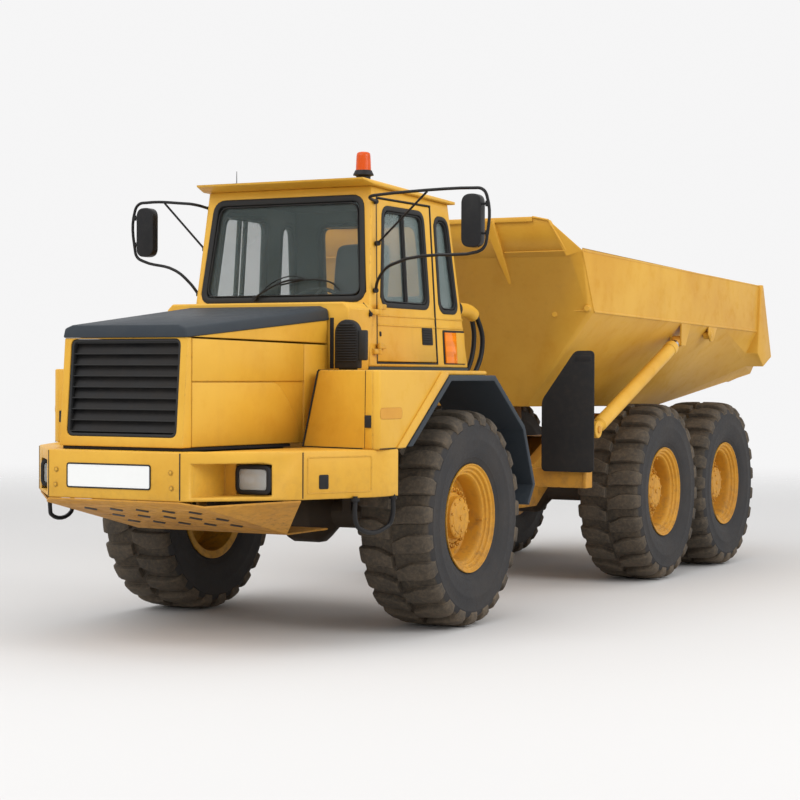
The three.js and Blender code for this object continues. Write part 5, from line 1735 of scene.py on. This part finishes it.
@dataclass
class RearLines:
    """The pipe from the cab's back and the two hoses that hang from it to the frame."""

    pipe: tuple[Point, ...] = ((0.69, 1.046, 2.39), (0.69, 1.2, 2.388), (0.69, 1.33, 2.38),
        (0.69, 1.418, 2.352))
    hoses: tuple[Flat, ...] = ((0.672, 0.0), (0.716, 0.08))
    diameter: float = 0.04
    per_leg: int = 5

    def route(self, x: float, bulge: float) -> list[Point]:
        """One hose's centreline: straight out of the pipe, over and down to the frame."""
        knots = [Vector(p) for p in ((x, 1.42, 2.36), (x + 0.012, 1.455 + bulge * 0.8, 2.175),
            (x, 1.41 + bulge * 0.9, 1.96), (x - 0.055, 1.285 + bulge * 0.4, 1.735),
            (0.54, 1.155, 1.565), (0.435, 1.08, 1.44), (0.39, 1.052, 1.332))]
        padded = [knots[0] * 2 - knots[1], *knots, knots[-1] * 2 - knots[-2]]
        points = []
        for a, b, c, d in zip(padded, padded[1:], padded[2:], padded[3:]):
            for k in range(self.per_leg):
                t = k / self.per_leg
                points.append(tuple(0.5 * (2 * b + (c - a) * t + (2 * a - 5 * b + 4 * c - d) * t * t
                    + (3 * b - a - 3 * c + d) * t ** 3)))
        return points + [tuple(knots[-1])]

    def build(self) -> None:
        """Builds the hoses and the pipe."""
        for name, (x, bulge) in zip(("inner", "outer"), self.hoses):
            points = self.route(x, bulge)
            form = Form(tube(points, self.diameter / 2, False, 3))
            hose = form.finish(f"rear_hose_{name}", Stuff.TUBE, ["rear_hoses"] if name == "inner"
                else [], smooth=60.0)
            path = [tuple(Vector(p) + HOME) for p in points]
        pipe = Form(tube(self.pipe, 0.0565, True, 7))
        pipe.finish("rear_pipe", Stuff.YELLOW, smooth=50.0)
        rings = Form(turned([(0.05, -0.02), (0.064, -0.02), (0.067, -0.014), (0.067, 0.014),
            (0.064, 0.02), (0.05, 0.02), (0.05, -0.02)], Axis.Y, (0.69, 1.085, 2.39), 40),
            bar((0.388, 1.05, 1.3205), (0.388, 1.05, 1.365), 0.03, 6))
        for x, _ in self.hoses:
            rings.take(bar((x, 1.416, 2.368), (x + 0.002, 1.428, 2.318), 0.026, 24))
        rings.finish("rear_line_fittings", Stuff.BLACK)


@dataclass
class BodyTrim:
    """Beads, ledges, bosses and brackets on the dump body, and the rounded flaps."""

    def body(self) -> None:
        """The steel trim."""
        form = Form()
        rail = 1.35
        form.both(bar((rail - 0.006, 2.4, 2.404), (rail - 0.006, 6.99, 2.326), 0.013, 16),
            bar((rail - 0.005, 2.165, 2.903), (rail - 0.005, 6.85, 2.799), 0.0095, 16),
            bar((rail - 0.003, 2.146, 2.9), (rail - 0.003, 2.396, 2.405), 0.0085, 12))
        form.take(slab((-0.948, 1.998, 3.148), (0.948, 2.013, 3.1895), 0.004))
        rib = [(0.5, 1.965, 3.165), (0.6, 1.965, 3.165), (0.673, 2.272, 2.53),
            (0.655, 2.272, 2.53)]
        form.both(bar((0.948, 2.008, 3.187), (1.09, 2.018, 3.157), 0.009, 12),
            bar((1.09, 2.018, 3.157), (1.21, 2.118, 2.904), 0.009, 12),
            plate(rib, (0.0, 0.11, 0.0), 0.004),
            slab((0.64, 2.106, 2.898), (1.206, 2.126, 2.909), 0.003))
        form.take(slab((-1.312, 2.326, 2.404), (1.312, 2.348, 2.416), 0.003))
        form.both(bar((1.019, 2.352, 2.38), (1.019, 2.312, 2.38), 0.03, 24, 0.024),
            bar((1.31, 2.35, 2.428), (1.318, 2.306, 2.428), 0.034, 24, 0.024))
        lug = [(1.334, y, z) for y, z in ((5.27, 2.352), (5.27, 2.262), (5.33, 2.2), (5.4, 2.2),
            (5.52, 2.345))]
        form.both(plate(lug, (0.014, 0.0, 0.0), 0.003),
            bar((1.282, 5.33, 2.262), (1.352, 5.33, 2.262), 0.04, 28),
            bar((1.35, 5.33, 2.262), (1.358, 5.33, 2.262), 0.022, 6),
            slab((1.346, 6.842, 2.318), (1.3575, 6.862, 2.8), 0.003))
        form.finish("dump_body_trim", Stuff.BODY, body="dump_body", smooth=35.0)

    def flaps(self) -> None:
        """The rubber flaps with rounded upper corners and their bolted clamp bars."""
        outline = rounded_outline([(0.842, 1.038), (1.328, 1.038), (1.328, 2.074), (1.15, 2.074),
            (0.842, 1.648)], 0.045)
        for side in SIDES:
            form = Form(plate([(x, 2.4525, z) for x, z in outline], (0.0, 0.013, 0.0), 0.003),
                slab((1.15, 2.4505, 1.985), (1.3, 2.4675, 2.03), 0.003), side=side)
            form.finish(f"rubber_flap_{side}", Stuff.RUBBER, [f"mudflap_{side}"], body="dump_body")

    def build(self) -> None:
        """Builds the trim."""
        self.body()
        self.flaps()


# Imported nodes.
@dataclass
class PackedNodes:
    """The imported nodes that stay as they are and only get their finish."""

    by_node: dict[str, Stuff] = field(default_factory=lambda: {"dump_body": Stuff.BODY,
        "cab_floor": Stuff.INSIDE, "dashboard": Stuff.INSIDE, "engine": Stuff.ENGINE,
        "rear_hoses": Stuff.TUBE, "mirror_left": Stuff.TUBE, "mirror_right": Stuff.TUBE})

    def dress(self) -> None:
        """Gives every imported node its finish."""
        for part in frame["record"]["subparts"]:
            node = part["node"]
            stuff = self.by_node.get(node, BY_SLOT[part["material_slot"]])
            mesh = frame["nodes"][node].data
            mesh.materials.clear()
            mesh.materials.append(DRESS(stuff))


# Studio.
@dataclass
class Studio:
    """A plain pale floor, soft lights and the camera."""

    eye: Point = (7.855, -13.108, 1.856)
    heading: float = 28.35
    pitch: float = -0.71
    roll: float = 0.25
    lens: float = 89.1
    sensor: float = 36.0
    floor_reach: float = 60.0
    floor_fade: Flat = (26.0, 9.0)
    sky: tuple[float, ...] = (1.0, 0.997, 1.0, 1.0)
    sky_strength: float = 0.92

    @staticmethod
    def holder(name: str, data: bpy.types.ID) -> bpy.types.Object:
        """Puts a camera, a lamp or a mesh in the scene."""
        made = bpy.data.objects.new(name, data)
        bpy.context.scene.collection.objects.link(made)
        return made

    def camera(self) -> None:
        """Sets the camera."""
        data = bpy.data.cameras.new("camera")
        data.lens = self.lens
        data.sensor_width = self.sensor
        data.clip_end = 500.0
        holder = self.holder("camera", data)
        turn = Matrix.Identity(4)
        for angle, axis in ((self.heading, "Z"), (90 + self.pitch, "X"), (self.roll, "Z")):
            turn = turn @ Matrix.Rotation(math.radians(angle), 4, axis)
        holder.matrix_world = Matrix.Translation(HOME + Vector(self.eye)) @ turn
        bpy.context.scene.camera = holder

    def softbox(self, name: str, place: Point, aim: Point, size: Flat, power: float) -> None:
        """Adds one area light.

        Args:
            name: Its name.
            place: Where it hangs.
            aim: The point that it faces.
            size: Its width and height.
            power: Its power in watts.
        """
        data = bpy.data.lights.new(name, "AREA")
        data.shape = "RECTANGLE"
        data.size, data.size_y = size
        data.energy = power
        holder = self.holder(name, data)
        turn = (Vector(aim) - Vector(place)).to_track_quat("-Z", "Y").to_matrix().to_4x4()
        holder.matrix_world = Matrix.Translation(Vector(place)) @ turn

    def floor(self) -> None:
        """Lays the floor."""
        bm = bmesh.new()
        bmesh.ops.create_grid(bm, x_segments=1, y_segments=1, size=self.floor_reach)
        mesh = bpy.data.meshes.new("studio_floor")
        bm.to_mesh(mesh)
        bm.free()
        holder = self.holder("studio_floor", mesh)
        sh = Shader("studio_floor")
        cloud = sh.noise(0.5, 3.0, 0.5)
        colour = sh.mix(cloud * 0.25, (0.66, 0.655, 0.65), (0.63, 0.625, 0.62))
        reach = sh.node("ShaderNodeVectorMath", {"operation": "LENGTH"}, {0: sh.place})
        shown = reach.out("Value").ramp(*self.floor_fade)
        mesh.materials.append(sh.surface(colour, 0.85 + 0.05 * cloud, Alpha=shown,
            Specular_IOR_Level=0.1))

    def build(self) -> None:
        """Builds the studio."""
        self.camera()
        self.floor()
        world = bpy.data.worlds.new("studio")
        world.use_nodes = True
        ground = world.node_tree.nodes["Background"]
        ground.inputs["Color"].default_value = self.sky
        ground.inputs["Strength"].default_value = self.sky_strength
        bpy.context.scene.world = world
        bpy.context.scene.view_settings.view_transform = "Standard"
        self.softbox("key", (-3.0, -13.0, 11.0), (0.0, -1.0, 1.2), (9.0, 7.0), 700.0)
        self.softbox("side", (14.0, -3.0, 9.0), (0.0, 0.0, 1.4), (9.0, 8.0), 900.0)
        self.softbox("top", (0.0, 0.0, 14.0), (0.0, 0.0, 0.0), (12.0, 14.0), 350.0)


def main() -> None:
    """Builds the truck's pieces in order."""
    logging.basicConfig(level=logging.INFO, format="%(name)s %(message)s")
    Studio().build()
    PackedNodes().dress()
    Wheel().build()
    Panels().build()
    Nose().build()
    BumperTrim().build()
    CabTrim().build()
    Interior().build()
    RoofGear().build()
    FenderTrim().build()
    Hoist().build()
    RearLines().build()
    BodyTrim().build()


if __name__ == "__main__":
    main()
